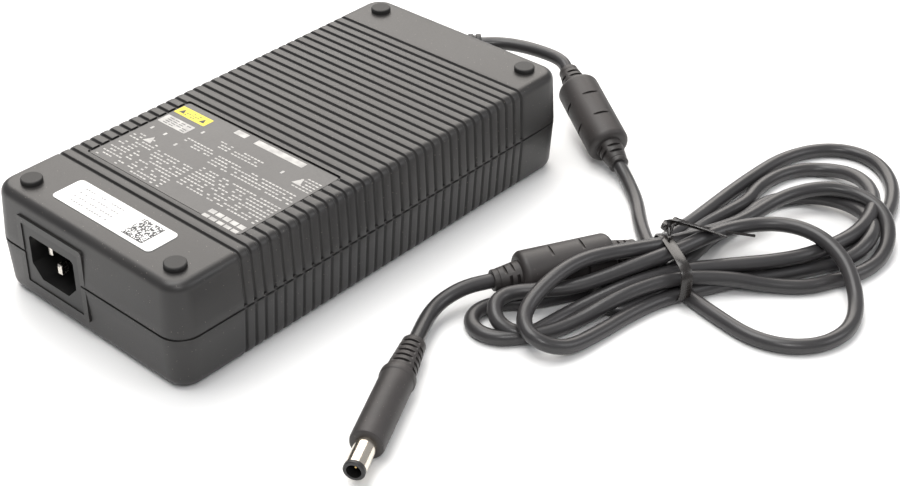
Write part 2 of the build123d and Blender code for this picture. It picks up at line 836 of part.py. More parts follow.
def heatsink(span, face, side):
    """An upright aluminium plate with short fins on its outer face."""
    x0 = board_left + span[0]
    x1 = board_left + span[1]
    back = face + side * heatsink_thickness
    tip = back + side * heatsink_fin
    top = board_top + head_room
    sink = box(x0, x1, min(face, back), max(face, back), board_top, top)
    for i in range(int((x1 - x0) / fin_pitch)):
        x = x0 + fin_margin + fin_pitch * i
        sink += box(x, x + fin_thickness, min(back, tip), max(back, tip), board_top, top)
    return sink


def power_package(from_left, face, side, width=package_width):
    """A three-leg power package standing against a heatsink's face."""
    x = board_left + from_left
    front = face - side * package_thickness
    low = board_top + package_leg_height
    body = box(x - width / 2, x + width / 2, min(face, front), max(face, front), low, low + package_height)
    y = (face + front) / 2
    for i in (-1, 0, 1):
        leg_x = x + i * package_leg_pitch
        body += box(leg_x - leg_width / 2, leg_x + leg_width / 2, y - leg_thickness / 2, y + leg_thickness / 2,
                    board_top, low)
    return body


def wire(points):
    path = FilletPolyline(*[Vector(*p) for p in points], radius=[1.3 * wire_diameter] * (len(points) - 2))
    return sweep(Plane(origin=path @ 0, z_dir=path % 0) * Circle(wire_diameter / 2), path=path)


def inlet_wire(y, z, step):
    tail_x = -half_length + inlet_setback + inlet_body_length + pin_tail
    land_x = board_left + wire_from_edge + step
    return wire([(tail_x, y, z), (land_x, y, z), (land_x, y, board_top)])


def outlet_wire(y_offset):
    y = gland_y + y_offset
    land_x = board_right - wire_from_edge
    return wire([(gland_inner_face(), y, gland_z), (land_x, y, gland_z), (land_x, y, board_top)])


def build_case():
    save(upper_shell(), "upper_shell", "dimgray")
    save(lower_shell(), "lower_shell", "dimgray")
    save(case_screws(), "case_screws", "silver")
    for number, (x, y) in enumerate(feet, start=1):
        save(rubber_foot(x, y), f"rubber_foot_{number}", "black")
    save(rating_label(), "rating_label", "gray")
    save(end_sticker(), "end_sticker", "white")
    save(inlet_body(), "inlet_body", "black")
    for name, (y, z, tip) in zip(("line_pin", "neutral_pin", "earth_pin"), pin_places()):
        save(pin_blade(y, z, tip), name, "silver")
    save(cord_gland(), "cord_gland", "black")


def build_lead():
    save(cord_tube("first lead", first_route), "lead_case_to_ferrite", "darkslategray")
    save(cord_tube("middle lead", middle_route), "lead_ferrite_to_hank", "darkslategray")
    save(cord_tube("tail lead", tail_route), "lead_ferrite_to_plug", "darkslategray")
    save(cord_hank(), "lead_hank", "darkslategray")
    save(twist_tie(), "twist_tie", "black")
    ferrites = [(ferrite_1_start, ferrite_1_axis), (ferrite_2_start, ferrite_2_axis)]
    for number, (start, axis) in enumerate(ferrites, start=1):
        save(ferrite_overmould(start, axis), f"ferrite_{number}_overmould", "dimgray")
        save(ferrite_core(start, axis), f"ferrite_{number}_core", "brown")
        save(cord_slug(start, axis), f"lead_in_ferrite_{number}", "darkslategray")
    save(plug_overmould(), "plug_overmould", "dimgray")
    save(barrel_sleeve(), "barrel_sleeve", "silver")
    save(barrel_insulator(), "barrel_insulator", "black")
    save(centre_pin(), "centre_pin", "gold")


def build_electronics():
    save(insulation_sheet(), "insulation_sheet", "ivory")
    save(heat_spreader_tray(), "heat_spreader_tray", "goldenrod")
    save(heat_spreader_cover(), "heat_spreader_cover", "goldenrod")
    save(board_spacers(), "board_spacers", "ivory")
    save(circuit_board(), "circuit_board", "darkgreen")
    save(input_fuse(), "input_fuse", "wheat")
    save(line_filter_capacitor(), "line_filter_capacitor", "gold")
    save(toroid_core(filter_choke_spot, filter_choke_size), "common_mode_choke_core", "gray")
    two_halves = toroid_winding(filter_choke_spot, filter_choke_size, [(0, 60), (180, 60)])
    save(two_halves, "common_mode_choke_winding", "peru")
    save(toroid_core(boost_choke_spot, boost_choke_size), "boost_choke_core", "gray")
    save(toroid_winding(boost_choke_spot, boost_choke_size, [(90, 85)]), "boost_choke_winding", "peru")
    save(heatsink(primary_heatsink_span, primary_face, 1), "primary_heatsink", "lightgray")
    save(heatsink(secondary_heatsink_span, secondary_face, -1), "secondary_heatsink", "lightgray")
    save(power_package(bridge_spot, primary_face, 1, bridge_width), "bridge_rectifier", "black")
    for number, from_left in enumerate(transistor_spots, start=1):
        save(power_package(from_left, primary_face, 1), f"switching_transistor_{number}", "black")
    save(power_package(rectifier_spot, secondary_face, -1, rectifier_width), "output_rectifier", "black")
    save(standing_can(bulk_capacitor_spot, bulk_capacitor_diameter, head_room), "bulk_capacitor", "navy")
    save(transformer_core(), "transformer_core", "gray")
    save(transformer_winding(), "transformer_winding", "yellow")
    for number, spot in enumerate(output_capacitor_spots, start=1):
        save(standing_can(spot, *output_capacitor_size), f"output_capacitor_{number}", "darkolivegreen")
    earth_step = wire_from_edge
    for name, (y, z, tip), step in zip(("line_wire", "neutral_wire", "earth_wire"), pin_places(), (0, 0, earth_step)):
        save(inlet_wire(y, z, step), name, "saddlebrown")
    save(outlet_wire(wire_diameter), "output_wire_positive", "red")
    save(outlet_wire(-wire_diameter), "output_wire_return", "black")


build_case()
build_lead()
build_electronics()
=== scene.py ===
from math import atan2, cos, pi, radians, sin, sqrt

import bmesh
import bpy
from mathutils import Matrix, Vector


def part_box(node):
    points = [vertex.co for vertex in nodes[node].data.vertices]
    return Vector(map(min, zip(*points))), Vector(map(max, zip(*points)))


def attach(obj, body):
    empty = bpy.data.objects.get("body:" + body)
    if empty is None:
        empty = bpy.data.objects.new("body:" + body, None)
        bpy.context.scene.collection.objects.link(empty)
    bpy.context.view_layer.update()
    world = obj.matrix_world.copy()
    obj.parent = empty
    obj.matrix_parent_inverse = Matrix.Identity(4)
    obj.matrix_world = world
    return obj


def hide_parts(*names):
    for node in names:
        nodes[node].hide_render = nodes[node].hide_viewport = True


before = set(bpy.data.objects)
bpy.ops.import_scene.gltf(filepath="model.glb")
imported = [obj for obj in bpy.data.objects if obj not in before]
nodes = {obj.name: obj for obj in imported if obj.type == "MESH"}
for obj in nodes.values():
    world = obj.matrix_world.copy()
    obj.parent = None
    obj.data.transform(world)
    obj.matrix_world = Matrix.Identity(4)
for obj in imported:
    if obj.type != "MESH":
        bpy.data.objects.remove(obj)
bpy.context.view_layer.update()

mm = 0.001


def at(x, y, z=0.0):
    return Vector((x, y, z)) * mm


# node trees: sockets that take plain arithmetic
class Flow:
    def __init__(self, bench, socket):
        self.bench = bench
        self.socket = socket

    def calc(self, operation, *others):
        node = self.bench.add("ShaderNodeMath", {"operation": operation})
        for slot, value in zip(node.node.inputs, (self, *others)):
            self.bench.feed(slot, value)
        return node[0]

    def flipped(self, operation, other):
        node = self.bench.add("ShaderNodeMath", {"operation": operation})
        self.bench.feed(node.node.inputs[0], other)
        self.bench.feed(node.node.inputs[1], self)
        return node[0]

    def __add__(self, other):
        return self.calc("ADD", other)

    __radd__ = __add__

    def __mul__(self, other):
        return self.calc("MULTIPLY", other)

    __rmul__ = __mul__

    def __sub__(self, other):
        return self.calc("SUBTRACT", other)

    def __rsub__(self, other):
        return self.flipped("SUBTRACT", other)

    def __truediv__(self, other):
        return self.calc("DIVIDE", other)

    def __gt__(self, other):
        return self.calc("GREATER_THAN", other)

    def __lt__(self, other):
        return self.calc("LESS_THAN", other)


class Made:
    def __init__(self, bench, node):
        self.bench = bench
        self.node = node

    def __getitem__(self, key):
        return Flow(self.bench, self.node.outputs[key])


class Bench:
    def __init__(self, tree):
        self.tree = tree

    def feed(self, slot, value):
        if isinstance(value, Flow):
            self.tree.links.new(value.socket, slot)
        else:
            slot.default_value = value

    def add(self, kind, settings=None, links=None):
        node = self.tree.nodes.new(kind)
        for key, value in (settings or {}).items():
            setattr(node, key, value)
        for key, value in (links or {}).items():
            self.feed(node.inputs[key], value)
        return Made(self, node)


# finishes
def blank(name):
    material = bpy.data.materials.new(name)
    material.use_nodes = True
    material.node_tree.nodes.clear()
    return material, Bench(material.node_tree)


def surface(bench, colour, roughness, normal=None, **fixed):
    links = {"Base Color": colour, "Roughness": roughness}
    if normal is not None:
        links["Normal"] = normal
    shader = bench.add("ShaderNodeBsdfPrincipled", {}, {**fixed, **links})
    bench.add("ShaderNodeOutputMaterial", {}, {"Surface": shader["BSDF"]})
    return shader


def grain(bench, place, scale, detail=2.0):
    return bench.add("ShaderNodeTexNoise", {}, {"Vector": place, "Scale": scale, "Detail": detail})["Fac"]


def mixed(bench, share, first, second):
    node = bench.add("ShaderNodeMix", {"data_type": "RGBA"})
    for slot, value in ((0, share), (6, first), (7, second)):
        bench.feed(node.node.inputs[slot], value)
    return node[2]


def ranged(bench, value, low, high, toLow=0.0, toHigh=1.0):
    links = {"Value": value, "From Min": low, "From Max": high, "To Min": toLow, "To Max": toHigh}
    return bench.add("ShaderNodeMapRange", {}, links)["Result"]


def moulded(name, look):   # two close colours, fine grain, and dust where a look has flecks
    material, bench = blank(name)
    place = bench.add("ShaderNodeTexCoord")["Object"]
    broad = grain(bench, place, look.get("cloud", 60.0), 3.0)
    fine = grain(bench, place, look["grain"])
    shade = mixed(bench, ranged(bench, broad, 0.35, 0.65), (*look["colour"], 1), (*look["worn"], 1))
    if "fleck" in look:
        cells = bench.add("ShaderNodeTexVoronoi", {}, {"Vector": place, "Scale": look["fleckScale"]})
        spot = ranged(bench, cells["Distance"], look.get("fleckSize", 0.22), 0.08)
        picked = bench.add("ShaderNodeSeparateColor", {}, {"Color": cells["Color"]})["Red"]
        shade = mixed(bench, spot * (picked < look["fleckShare"]), shade, (*look["fleck"], 1))
    rough = ranged(bench, fine * 0.6 + broad * 0.4, 0.3, 0.7, look["smooth"], look["rough"])
    links = {"Height": fine, "Strength": look["relief"], "Distance": look.get("depth", 0.00005)}
    normal = bench.add("ShaderNodeBump", {}, links)["Normal"]
    fixed = {"Metallic": look.get("metal", 0.0), "Specular IOR Level": look.get("gloss", 0.5)}
    surface(bench, shade, rough, normal, **fixed)
    return material


looks = {
    "casePlastic": {"colour": (0.014, 0.0132, 0.0132), "worn": (0.021, 0.0194, 0.0186), "grain": 2600.0,
                    "cloud": 22.0, "smooth": 0.34, "rough": 0.46, "relief": 0.4, "gloss": 0.5,
                    "fleck": (0.30, 0.26, 0.22), "fleckScale": 1500.0, "fleckShare": 0.05},
    "footRubber": {"colour": (0.01, 0.0096, 0.0096), "worn": (0.018, 0.017, 0.016), "grain": 3000.0,
                   "smooth": 0.5, "rough": 0.68, "relief": 0.3},
    "inletPlastic": {"colour": (0.006, 0.006, 0.006), "worn": (0.01, 0.0096, 0.0096), "grain": 2200.0,
                     "smooth": 0.38, "rough": 0.5, "relief": 0.3},
    "pinNickel": {"colour": (0.78, 0.75, 0.70), "worn": (0.66, 0.62, 0.56), "grain": 900.0, "metal": 1.0,
                  "smooth": 0.16, "rough": 0.32, "relief": 0.1},
    "barrelNickel": {"colour": (0.86, 0.8, 0.7), "worn": (0.74, 0.67, 0.58), "grain": 700.0, "metal": 1.0,
                     "smooth": 0.14, "rough": 0.26, "relief": 0.08},
    "leadJacket": {"colour": (0.027, 0.026, 0.027), "worn": (0.038, 0.036, 0.037), "grain": 1800.0,
                   "cloud": 35.0, "smooth": 0.27, "rough": 0.38, "relief": 0.12, "gloss": 0.5},
    "glandRubber": {"colour": (0.016, 0.0154, 0.0154), "worn": (0.026, 0.0246, 0.0246), "grain": 2400.0,
                    "smooth": 0.42, "rough": 0.56, "relief": 0.2},
    "ferritePlastic": {"colour": (0.026, 0.0232, 0.0225), "worn": (0.038, 0.033, 0.0318), "grain": 2000.0,
                       "cloud": 80.0, "smooth": 0.42, "rough": 0.58, "relief": 0.3,
                       "fleck": (0.16, 0.13, 0.12), "fleckScale": 1500.0, "fleckShare": 0.05},
    "plugPlastic": {"colour": (0.028, 0.0252, 0.0246), "worn": (0.042, 0.037, 0.036), "grain": 2100.0,
                    "cloud": 90.0, "smooth": 0.42, "rough": 0.6, "relief": 0.35,
                    "fleck": (0.22, 0.18, 0.17), "fleckScale": 1500.0, "fleckShare": 0.09},
    "tiePlastic": {"colour": (0.008, 0.0068, 0.006), "worn": (0.016, 0.0126, 0.011), "grain": 1500.0,
                   "smooth": 0.2, "rough": 0.34, "relief": 0.2, "gloss": 0.6},
    "labelFilm": {"colour": (0.013, 0.0125, 0.0125), "worn": (0.019, 0.018, 0.0178), "grain": 1200.0,
                  "cloud": 30.0, "smooth": 0.34, "rough": 0.46, "relief": 0.06, "gloss": 0.75},
    "printWhite": {"colour": (0.5, 0.49, 0.47), "worn": (0.36, 0.35, 0.34), "grain": 2500.0, "cloud": 300.0,
                   "smooth": 0.45, "rough": 0.6, "relief": 0.05},
    "printGrey": {"colour": (0.30, 0.30, 0.30), "worn": (0.22, 0.22, 0.22), "grain": 2500.0, "cloud": 300.0,
                  "smooth": 0.45, "rough": 0.6, "relief": 0.05},
    "printYellow": {"colour": (0.78, 0.66, 0.05), "worn": (0.68, 0.55, 0.04), "grain": 2500.0,
                    "cloud": 120.0, "smooth": 0.45, "rough": 0.6, "relief": 0.05},
    "printBlack": {"colour": (0.02, 0.02, 0.022), "worn": (0.035, 0.035, 0.037), "grain": 2500.0,
                   "cloud": 300.0, "smooth": 0.45, "rough": 0.6, "relief": 0.05},
    "stickerPaper": {"colour": (0.80, 0.80, 0.79), "worn": (0.73, 0.73, 0.72), "grain": 1500.0,
                     "cloud": 60.0, "smooth": 0.45, "rough": 0.58, "relief": 0.08},
    "screwSteel": {"colour": (0.55, 0.54, 0.52), "worn": (0.42, 0.41, 0.40), "grain": 800.0, "metal": 1.0,
                   "smooth": 0.25, "rough": 0.4, "relief": 0.1},
    "ferriteCeramic": {"colour": (0.05, 0.047, 0.046), "worn": (0.075, 0.07, 0.068), "grain": 1500.0,
                       "smooth": 0.5, "rough": 0.75, "relief": 0.4},
    "barrelLiner": {"colour": (0.012, 0.012, 0.012), "worn": (0.022, 0.021, 0.021), "grain": 1800.0,
                    "smooth": 0.35, "rough": 0.5, "relief": 0.15},
    "contactBrass": {"colour": (0.80, 0.58, 0.24), "worn": (0.66, 0.46, 0.18), "grain": 900.0, "metal": 1.0,
                     "smooth": 0.2, "rough": 0.36, "relief": 0.1},
    "insulationFilm": {"colour": (0.62, 0.58, 0.46), "worn": (0.54, 0.5, 0.39), "grain": 700.0,
                       "smooth": 0.4, "rough": 0.55, "relief": 0.15},
    "spreaderCopper": {"colour": (0.72, 0.40, 0.24), "worn": (0.56, 0.29, 0.17), "grain": 500.0,
                       "metal": 1.0, "smooth": 0.28, "rough": 0.46, "relief": 0.12},
    "spacerNylon": {"colour": (0.72, 0.70, 0.64), "worn": (0.62, 0.60, 0.55), "grain": 900.0, "smooth": 0.4,
                    "rough": 0.55, "relief": 0.15},
    "boardLaminate": {"colour": (0.025, 0.13, 0.06), "worn": (0.04, 0.18, 0.085), "grain": 2600.0,
                      "smooth": 0.3, "rough": 0.45, "relief": 0.25},
    "fuseCeramic": {"colour": (0.72, 0.69, 0.60), "worn": (0.63, 0.6, 0.52), "grain": 1500.0,
                    "smooth": 0.35, "rough": 0.5, "relief": 0.1},
    "capacitorFilm": {"colour": (0.75, 0.50, 0.05), "worn": (0.66, 0.43, 0.04), "grain": 900.0,
                      "smooth": 0.35, "rough": 0.5, "relief": 0.1},
    "copperWire": {"colour": (0.60, 0.24, 0.09), "worn": (0.46, 0.17, 0.06), "grain": 1400.0, "metal": 1.0,
                   "smooth": 0.25, "rough": 0.4, "relief": 0.3},
    "heatsinkAluminium": {"colour": (0.70, 0.70, 0.71), "worn": (0.58, 0.58, 0.6), "grain": 900.0,
                          "metal": 1.0, "smooth": 0.35, "rough": 0.5, "relief": 0.2},
    "packageResin": {"colour": (0.018, 0.018, 0.019), "worn": (0.03, 0.03, 0.031), "grain": 2300.0,
                     "smooth": 0.5, "rough": 0.68, "relief": 0.3},
    "capacitorSleeve": {"colour": (0.03, 0.05, 0.14), "worn": (0.045, 0.07, 0.19), "grain": 800.0,
                        "smooth": 0.25, "rough": 0.38, "relief": 0.08},
    "windingTape": {"colour": (0.72, 0.60, 0.08), "worn": (0.6, 0.49, 0.06), "grain": 900.0, "smooth": 0.3,
                    "rough": 0.45, "relief": 0.2},
    "wireBrown": {"colour": (0.10, 0.04, 0.02), "worn": (0.14, 0.06, 0.03), "grain": 1500.0, "smooth": 0.35,
                  "rough": 0.5, "relief": 0.15},
    "wireBlue": {"colour": (0.02, 0.08, 0.35), "worn": (0.03, 0.11, 0.44), "grain": 1500.0, "smooth": 0.35,
                 "rough": 0.5, "relief": 0.15},
    "wireGreen": {"colour": (0.10, 0.32, 0.04), "worn": (0.15, 0.4, 0.05), "grain": 1500.0, "smooth": 0.35,
                  "rough": 0.5, "relief": 0.15},
    "wireRed": {"colour": (0.42, 0.02, 0.015), "worn": (0.5, 0.03, 0.02), "grain": 1500.0, "smooth": 0.35,
                "rough": 0.5, "relief": 0.15},
    "wireBlack": {"colour": (0.02, 0.02, 0.02), "worn": (0.035, 0.035, 0.035), "grain": 1500.0,
                  "smooth": 0.35, "rough": 0.5, "relief": 0.15},
}
finish = {name: moulded(name, look) for name, look in looks.items()}
print("finishes made:", len(finish))


# mesh tools
def piece(name, material, verts=None, faces=None):
    mesh = bpy.data.meshes.new(name)
    if verts is not None:
        mesh.from_pydata([tuple(v) for v in verts], [], faces)
    item = bpy.data.objects.new(name, mesh)
    bpy.context.scene.collection.objects.link(item)
    mesh.materials.append(finish[material])
    return item


def faceOut(item):
    shape = bmesh.new()
    shape.from_mesh(item.data)
    bmesh.ops.remove_doubles(shape, verts=shape.verts, dist=0.001 * mm)
    bmesh.ops.recalc_face_normals(shape, faces=shape.faces)
    shape.to_mesh(item.data)
    shape.free()


def smoothBelow(item, angle):
    shape = bmesh.new()
    shape.from_mesh(item.data)
    for face in shape.faces:
        face.smooth = True
    for edge in shape.edges:
        edge.smooth = len(edge.link_faces) == 2 and edge.calc_face_angle(0.0) < radians(angle)
    shape.to_mesh(item.data)
    shape.free()


def bake(item):
    bpy.context.view_layer.update()
    graph = bpy.context.evaluated_depsgraph_get()
    mesh = bpy.data.meshes.new_from_object(item.evaluated_get(graph))
    item.modifiers.clear()
    item.data = mesh
    return item


def carve(item, tools, operation="DIFFERENCE"):
    for tool in tools:
        change = item.modifiers.new("carve", "BOOLEAN")
        change.operation = operation
        change.solver = "EXACT"
        change.object = tool
        bake(item)
        bpy.data.objects.remove(tool)


def turned(name, material, outline, axisStart, axis, steps=64):   # outline of (along, radius) pairs
    axis = axis.normalized()
    level = Vector((-axis.y, axis.x, 0)).normalized()
    up = axis.cross(level)
    verts = []
    for along, radius in outline:
        for step in range(steps):
            turn = 2 * pi * step / steps
            verts.append(axisStart + (axis * along + (level * cos(turn) + up * sin(turn)) * radius) * mm)
    faces = []
    count = len(outline)
    for row in range(count):
        for step in range(steps):
            nextRow = (row + 1) % count
            nextStep = (step + 1) % steps
            faces.append((row * steps + step, row * steps + nextStep,
                          nextRow * steps + nextStep, nextRow * steps + step))
    item = piece(name, material, verts, faces)
    faceOut(item)
    return item


def roundedBlock(name, material, low, high, radius, axis="X", steps=6):
    spread = {"X": (1, 2, 0), "Y": (0, 2, 1), "Z": (0, 1, 2)}[axis]
    a, b, c = spread
    outline = []
    for sideA, sideB, start in ((1, 1, 0), (-1, 1, 90), (-1, -1, 180), (1, -1, 270)):
        centreA = (high[a] - radius) if sideA > 0 else (low[a] + radius)
        centreB = (high[b] - radius) if sideB > 0 else (low[b] + radius)
        for step in range(steps + 1):
            turn = radians(start + 90 * step / steps)
            outline.append((centreA + radius * cos(turn), centreB + radius * sin(turn)))
    verts = []
    for level in (low[c], high[c]):
        for first, second in outline:
            corner = [0, 0, 0]
            corner[a], corner[b], corner[c] = first, second, level
            verts.append(at(*corner))
    count = len(outline)
    faces = [tuple(range(count))[::-1], tuple(range(count, 2 * count))]
    faces += [(i, (i + 1) % count, count + (i + 1) % count, count + i) for i in range(count)]
    item = piece(name, material, verts, faces)
    faceOut(item)
    return item


def join(items):
    with bpy.context.temp_override(active_object=items[0], selected_editable_objects=items):
        bpy.ops.object.join()
    return items[0]


def place(item, slot, replaced=()):
    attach(item, "root")
    if replaced:
        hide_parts(*replaced)


# geometry node trees
class GeometryBench(Bench):
    def __init__(self, name, inputs):
        tree = bpy.data.node_groups.new(name, "GeometryNodeTree")
        super().__init__(tree)
        tree.interface.new_socket("Geometry", in_out="INPUT", socket_type="NodeSocketGeometry")
        for label, kind in inputs.items():
            tree.interface.new_socket(label, in_out="INPUT", socket_type="NodeSocket" + kind)
        tree.interface.new_socket("Geometry", in_out="OUTPUT", socket_type="NodeSocketGeometry")
        self.given = self.add("NodeGroupInput")

    def finishWith(self, geometry, realize=True):
        if realize:
            geometry = self.add("GeometryNodeRealizeInstances", {}, {"Geometry": geometry})["Geometry"]
        links = {"Geometry": geometry, "Material": self.given["Material"]}
        coloured = self.add("GeometryNodeSetMaterial", {}, links)["Geometry"]
        self.add("NodeGroupOutput", {}, {"Geometry": coloured})
        return self.tree


def grown(item, tree, values):
    change = item.modifiers.new(tree.name, "NODES")
    change.node_group = tree
    for socket in tree.interface.items_tree:
        if socket.in_out == "INPUT" and socket.name in values:
            change[socket.identifier] = values[socket.name]
    return bake(item)


def ribTree():   # presses grooves into a shell along its outward directions
    inputs = {"Pitch": "Float", "First": "Float", "Count": "Int", "Half Width": "Float", "Shoulder": "Float",
              "Depth": "Float", "Crown": "Float", "Material": "Material"}
    bench = GeometryBench("pressedRibs", inputs)
    given = bench.given
    along = bench.add("ShaderNodeSeparateXYZ", {}, {"Vector": bench.add("GeometryNodeInputPosition")[0]})["X"]
    step = (along - given["First"]) / given["Pitch"]
    nearest = step.calc("ROUND")
    distance = ((step - nearest) * given["Pitch"]).calc("ABSOLUTE")
    inRange = (nearest > -0.5) * (nearest < (given["Count"] - 0.5))
    edge = given["Half Width"] + given["Shoulder"]
    links = {"Value": distance, 1: given["Half Width"], 2: edge, 3: 1.0, 4: 0.0}
    wall = bench.add("ShaderNodeMapRange", {"interpolation_type": "SMOOTHERSTEP"}, links)["Result"]
    crown = (distance / (given["Pitch"] * 0.5) - 1.0)
    fall = wall * given["Depth"] + crown * crown * given["Crown"] * inRange
    links = {"Name": "outward"}
    outward = bench.add("GeometryNodeInputNamedAttribute", {"data_type": "FLOAT_VECTOR"}, links)["Attribute"]
    links = {0: outward, "Scale": (fall * inRange) * -1.0}
    offset = bench.add("ShaderNodeVectorMath", {"operation": "SCALE"}, links)["Vector"]
    shape = bench.add("GeometryNodeSetPosition", {}, {"Geometry": given["Geometry"], "Offset": offset})
    return bench.finishWith(shape["Geometry"], realize=False)


def dashTree():   # rows of short dashes, some left out
    inputs = {"Rows": "Int", "Columns": "Int", "Row Pitch": "Float", "Column Pitch": "Float", "Dash": "Float",
              "Height": "Float", "Fill": "Float", "Seed": "Int", "Corner": "Vector", "Material": "Material"}
    bench = GeometryBench("smallMarks", inputs)
    given = bench.given
    across = (given["Columns"] - 1) * given["Column Pitch"]
    deep = (given["Rows"] - 1) * given["Row Pitch"]
    links = {"Size X": across, "Size Y": deep, "Vertices X": given["Columns"], "Vertices Y": given["Rows"]}
    grid = bench.add("GeometryNodeMeshGrid", {}, links)["Mesh"]
    shift = bench.add("ShaderNodeCombineXYZ", {}, {"X": across * 0.5, "Y": deep * 0.5})["Vector"]
    whole = bench.add("ShaderNodeVectorMath", {"operation": "ADD"}, {0: given["Corner"], 1: shift})["Vector"]
    moved = bench.add("GeometryNodeSetPosition", {}, {"Geometry": grid, "Offset": whole})["Geometry"]
    links = {"Probability": given["Fill"], "Seed": given["Seed"]}
    chosen = bench.add("FunctionNodeRandomValue", {"data_type": "BOOLEAN"}, links)[3]
    dash = bench.add("GeometryNodeMeshGrid", {}, {"Vertices X": 2, "Vertices Y": 2, "Size X": given["Height"],
                                                  "Size Y": given["Dash"]})["Mesh"]
    links = {"Points": moved, "Selection": chosen, "Instance": dash}
    marks = bench.add("GeometryNodeInstanceOnPoints", {}, links)["Instances"]
    return bench.finishWith(marks)


def slotTree():   # cross slots on four sides of a taper
    inputs = {"Rows": "Int", "First": "Float", "Step": "Float", "Start Radius": "Float", "Slope": "Float",
              "Length": "Float", "Width": "Float", "Depth": "Float", "Stagger": "Float",
              "Material": "Material"}
    bench = GeometryBench("crossSlots", inputs)
    given = bench.given
    parts = bench.add("GeometryNodeJoinGeometry")
    for turn in range(4):
        stagger = given["Stagger"] * (turn % 2)
        start = bench.add("ShaderNodeCombineXYZ", {}, {"X": given["Start Radius"],
                                                       "Z": given["First"] + stagger})["Vector"]
        step = bench.add("ShaderNodeCombineXYZ", {}, {"X": given["Slope"] * given["Step"],
                                                      "Z": given["Step"]})["Vector"]
        links = {"Count": given["Rows"], "Start Location": start, "Offset": step}
        line = bench.add("GeometryNodeMeshLine", {}, links)["Mesh"]
        size = bench.add("ShaderNodeCombineXYZ", {}, {"X": given["Depth"] * 2, "Y": given["Length"],
                                                      "Z": given["Width"]})["Vector"]
        cube = bench.add("GeometryNodeMeshCube", {}, {"Size": size})["Mesh"]
        cuts = bench.add("GeometryNodeInstanceOnPoints", {}, {"Points": line, "Instance": cube})["Instances"]
        links = {"Geometry": cuts, "Rotation": (0.0, 0.0, radians(90 * turn))}
        spun = bench.add("GeometryNodeTransform", {}, links)["Geometry"]
        bench.tree.links.new(spun.socket, parts.node.inputs[0])
    return bench.finishWith(parts["Geometry"])


def collarTree():   # rings that shrink along a bend
    inputs = {"Count": "Int", "Bend": "Float", "Sweep": "Float", "First Radius": "Float",
              "Last Radius": "Float", "Thickness": "Float", "Material": "Material"}
    bench = GeometryBench("reliefRings", inputs)
    given = bench.given
    line = bench.add("GeometryNodeMeshLine", {}, {"Count": given["Count"], "Offset": (0.0, 0.0, 0.0)})["Mesh"]
    share = bench.add("GeometryNodeInputIndex")[0] / (given["Count"] - 1)
    angle = share * given["Sweep"]
    x = angle.calc("SINE") * given["Bend"]
    y = (angle.calc("COSINE") - 1) * given["Bend"]
    spot = bench.add("ShaderNodeCombineXYZ", {}, {"X": x, "Y": y})["Vector"]
    moved = bench.add("GeometryNodeSetPosition", {}, {"Geometry": line, "Position": spot})["Geometry"]
    links = {"Vertices": 64, "Radius": 1.0, "Depth": given["Thickness"], "Side Segments": 1}
    ring = bench.add("GeometryNodeMeshCylinder", {}, links)["Mesh"]
    width = given["First Radius"] + (given["Last Radius"] - given["First Radius"]) * share
    scale = bench.add("ShaderNodeCombineXYZ", {}, {"X": width, "Y": width, "Z": 1.0})["Vector"]
    spin = bench.add("ShaderNodeCombineXYZ", {}, {"Y": pi / 2, "Z": angle * -1.0})["Vector"]
    links = {"Points": moved, "Instance": ring, "Rotation": spin, "Scale": scale}
    rings = bench.add("GeometryNodeInstanceOnPoints", {}, links)["Instances"]
    return bench.finishWith(rings)


ribs = ribTree()
smallMarks = dashTree()
crossSlots = slotTree()
reliefRings = collarTree()
print("node trees made")

# case
case = {"length": 200.0, "width": 100.0, "height": 43.2, "split": 22.0, "corner": 9.2, "wall": 2.6,
        "upperDraft": 1.2, "lowerDraft": 1.35, "upperEdge": 3.6, "lowerEdge": 5.0, "seamDepth": 0.6,
        "seamHalf": 0.42, "pitch": 4.52, "firstRib": -70.2, "ribCount": 33, "grooveHalf": 0.2,
        "shoulder": 0.75, "grooveDepth": 0.75, "crown": 0.22}
grooveStations = (0.0, 0.12, 0.2, 0.3, 0.42, 0.55, 0.7, 0.85, 0.97, 1.25, 1.65)


def ribStations():
    middles = [case["firstRib"] + case["pitch"] * i for i in range(case["ribCount"])]
    offsets = [-d for d in grooveStations[:0:-1]] + list(grooveStations)
    spots = [middle + offset for middle in middles for offset in offsets]
    edge = case["length"] / 2 - case["corner"]
    ends = [-edge, -edge + 5, -edge + 12, edge - 5, edge - 11, edge]
    return sorted(spots + ends + [case["firstRib"] + case["pitch"] * (case["ribCount"] - 0.5)])


def planRing(inset, height, stations, cornerSteps=8, endSteps=6):   # rounded outline at one height
    long = case["length"] / 2
    wide = case["width"] / 2
    radius = case["corner"] - inset
    cx = long - case["corner"]
    cy = wide - case["corner"]
    ring = [(x, wide - inset) for x in stations]
    for sideX, sideY, start in ((1, 1, 90), (1, -1, 0), (-1, -1, -90), (-1, 1, -180)):
        arc = [radians(start - 90 * i / cornerSteps) for i in range(1, cornerSteps)]
        corner = [(sideX * cx + radius * cos(a), sideY * cy + radius * sin(a)) for a in arc]
        ring += corner
        if sideX == 1 and sideY == 1:
            ring += [(long - inset, cy - 2 * cy * i / endSteps) for i in range(endSteps + 1)]
        elif sideX == 1 and sideY == -1:
            ring += [(x, -wide + inset) for x in reversed(stations)]
        elif sideX == -1 and sideY == -1:
            ring += [(-long + inset, -cy + 2 * cy * i / endSteps) for i in range(endSteps + 1)]
    return [at(x, y, height) for x, y in ring]


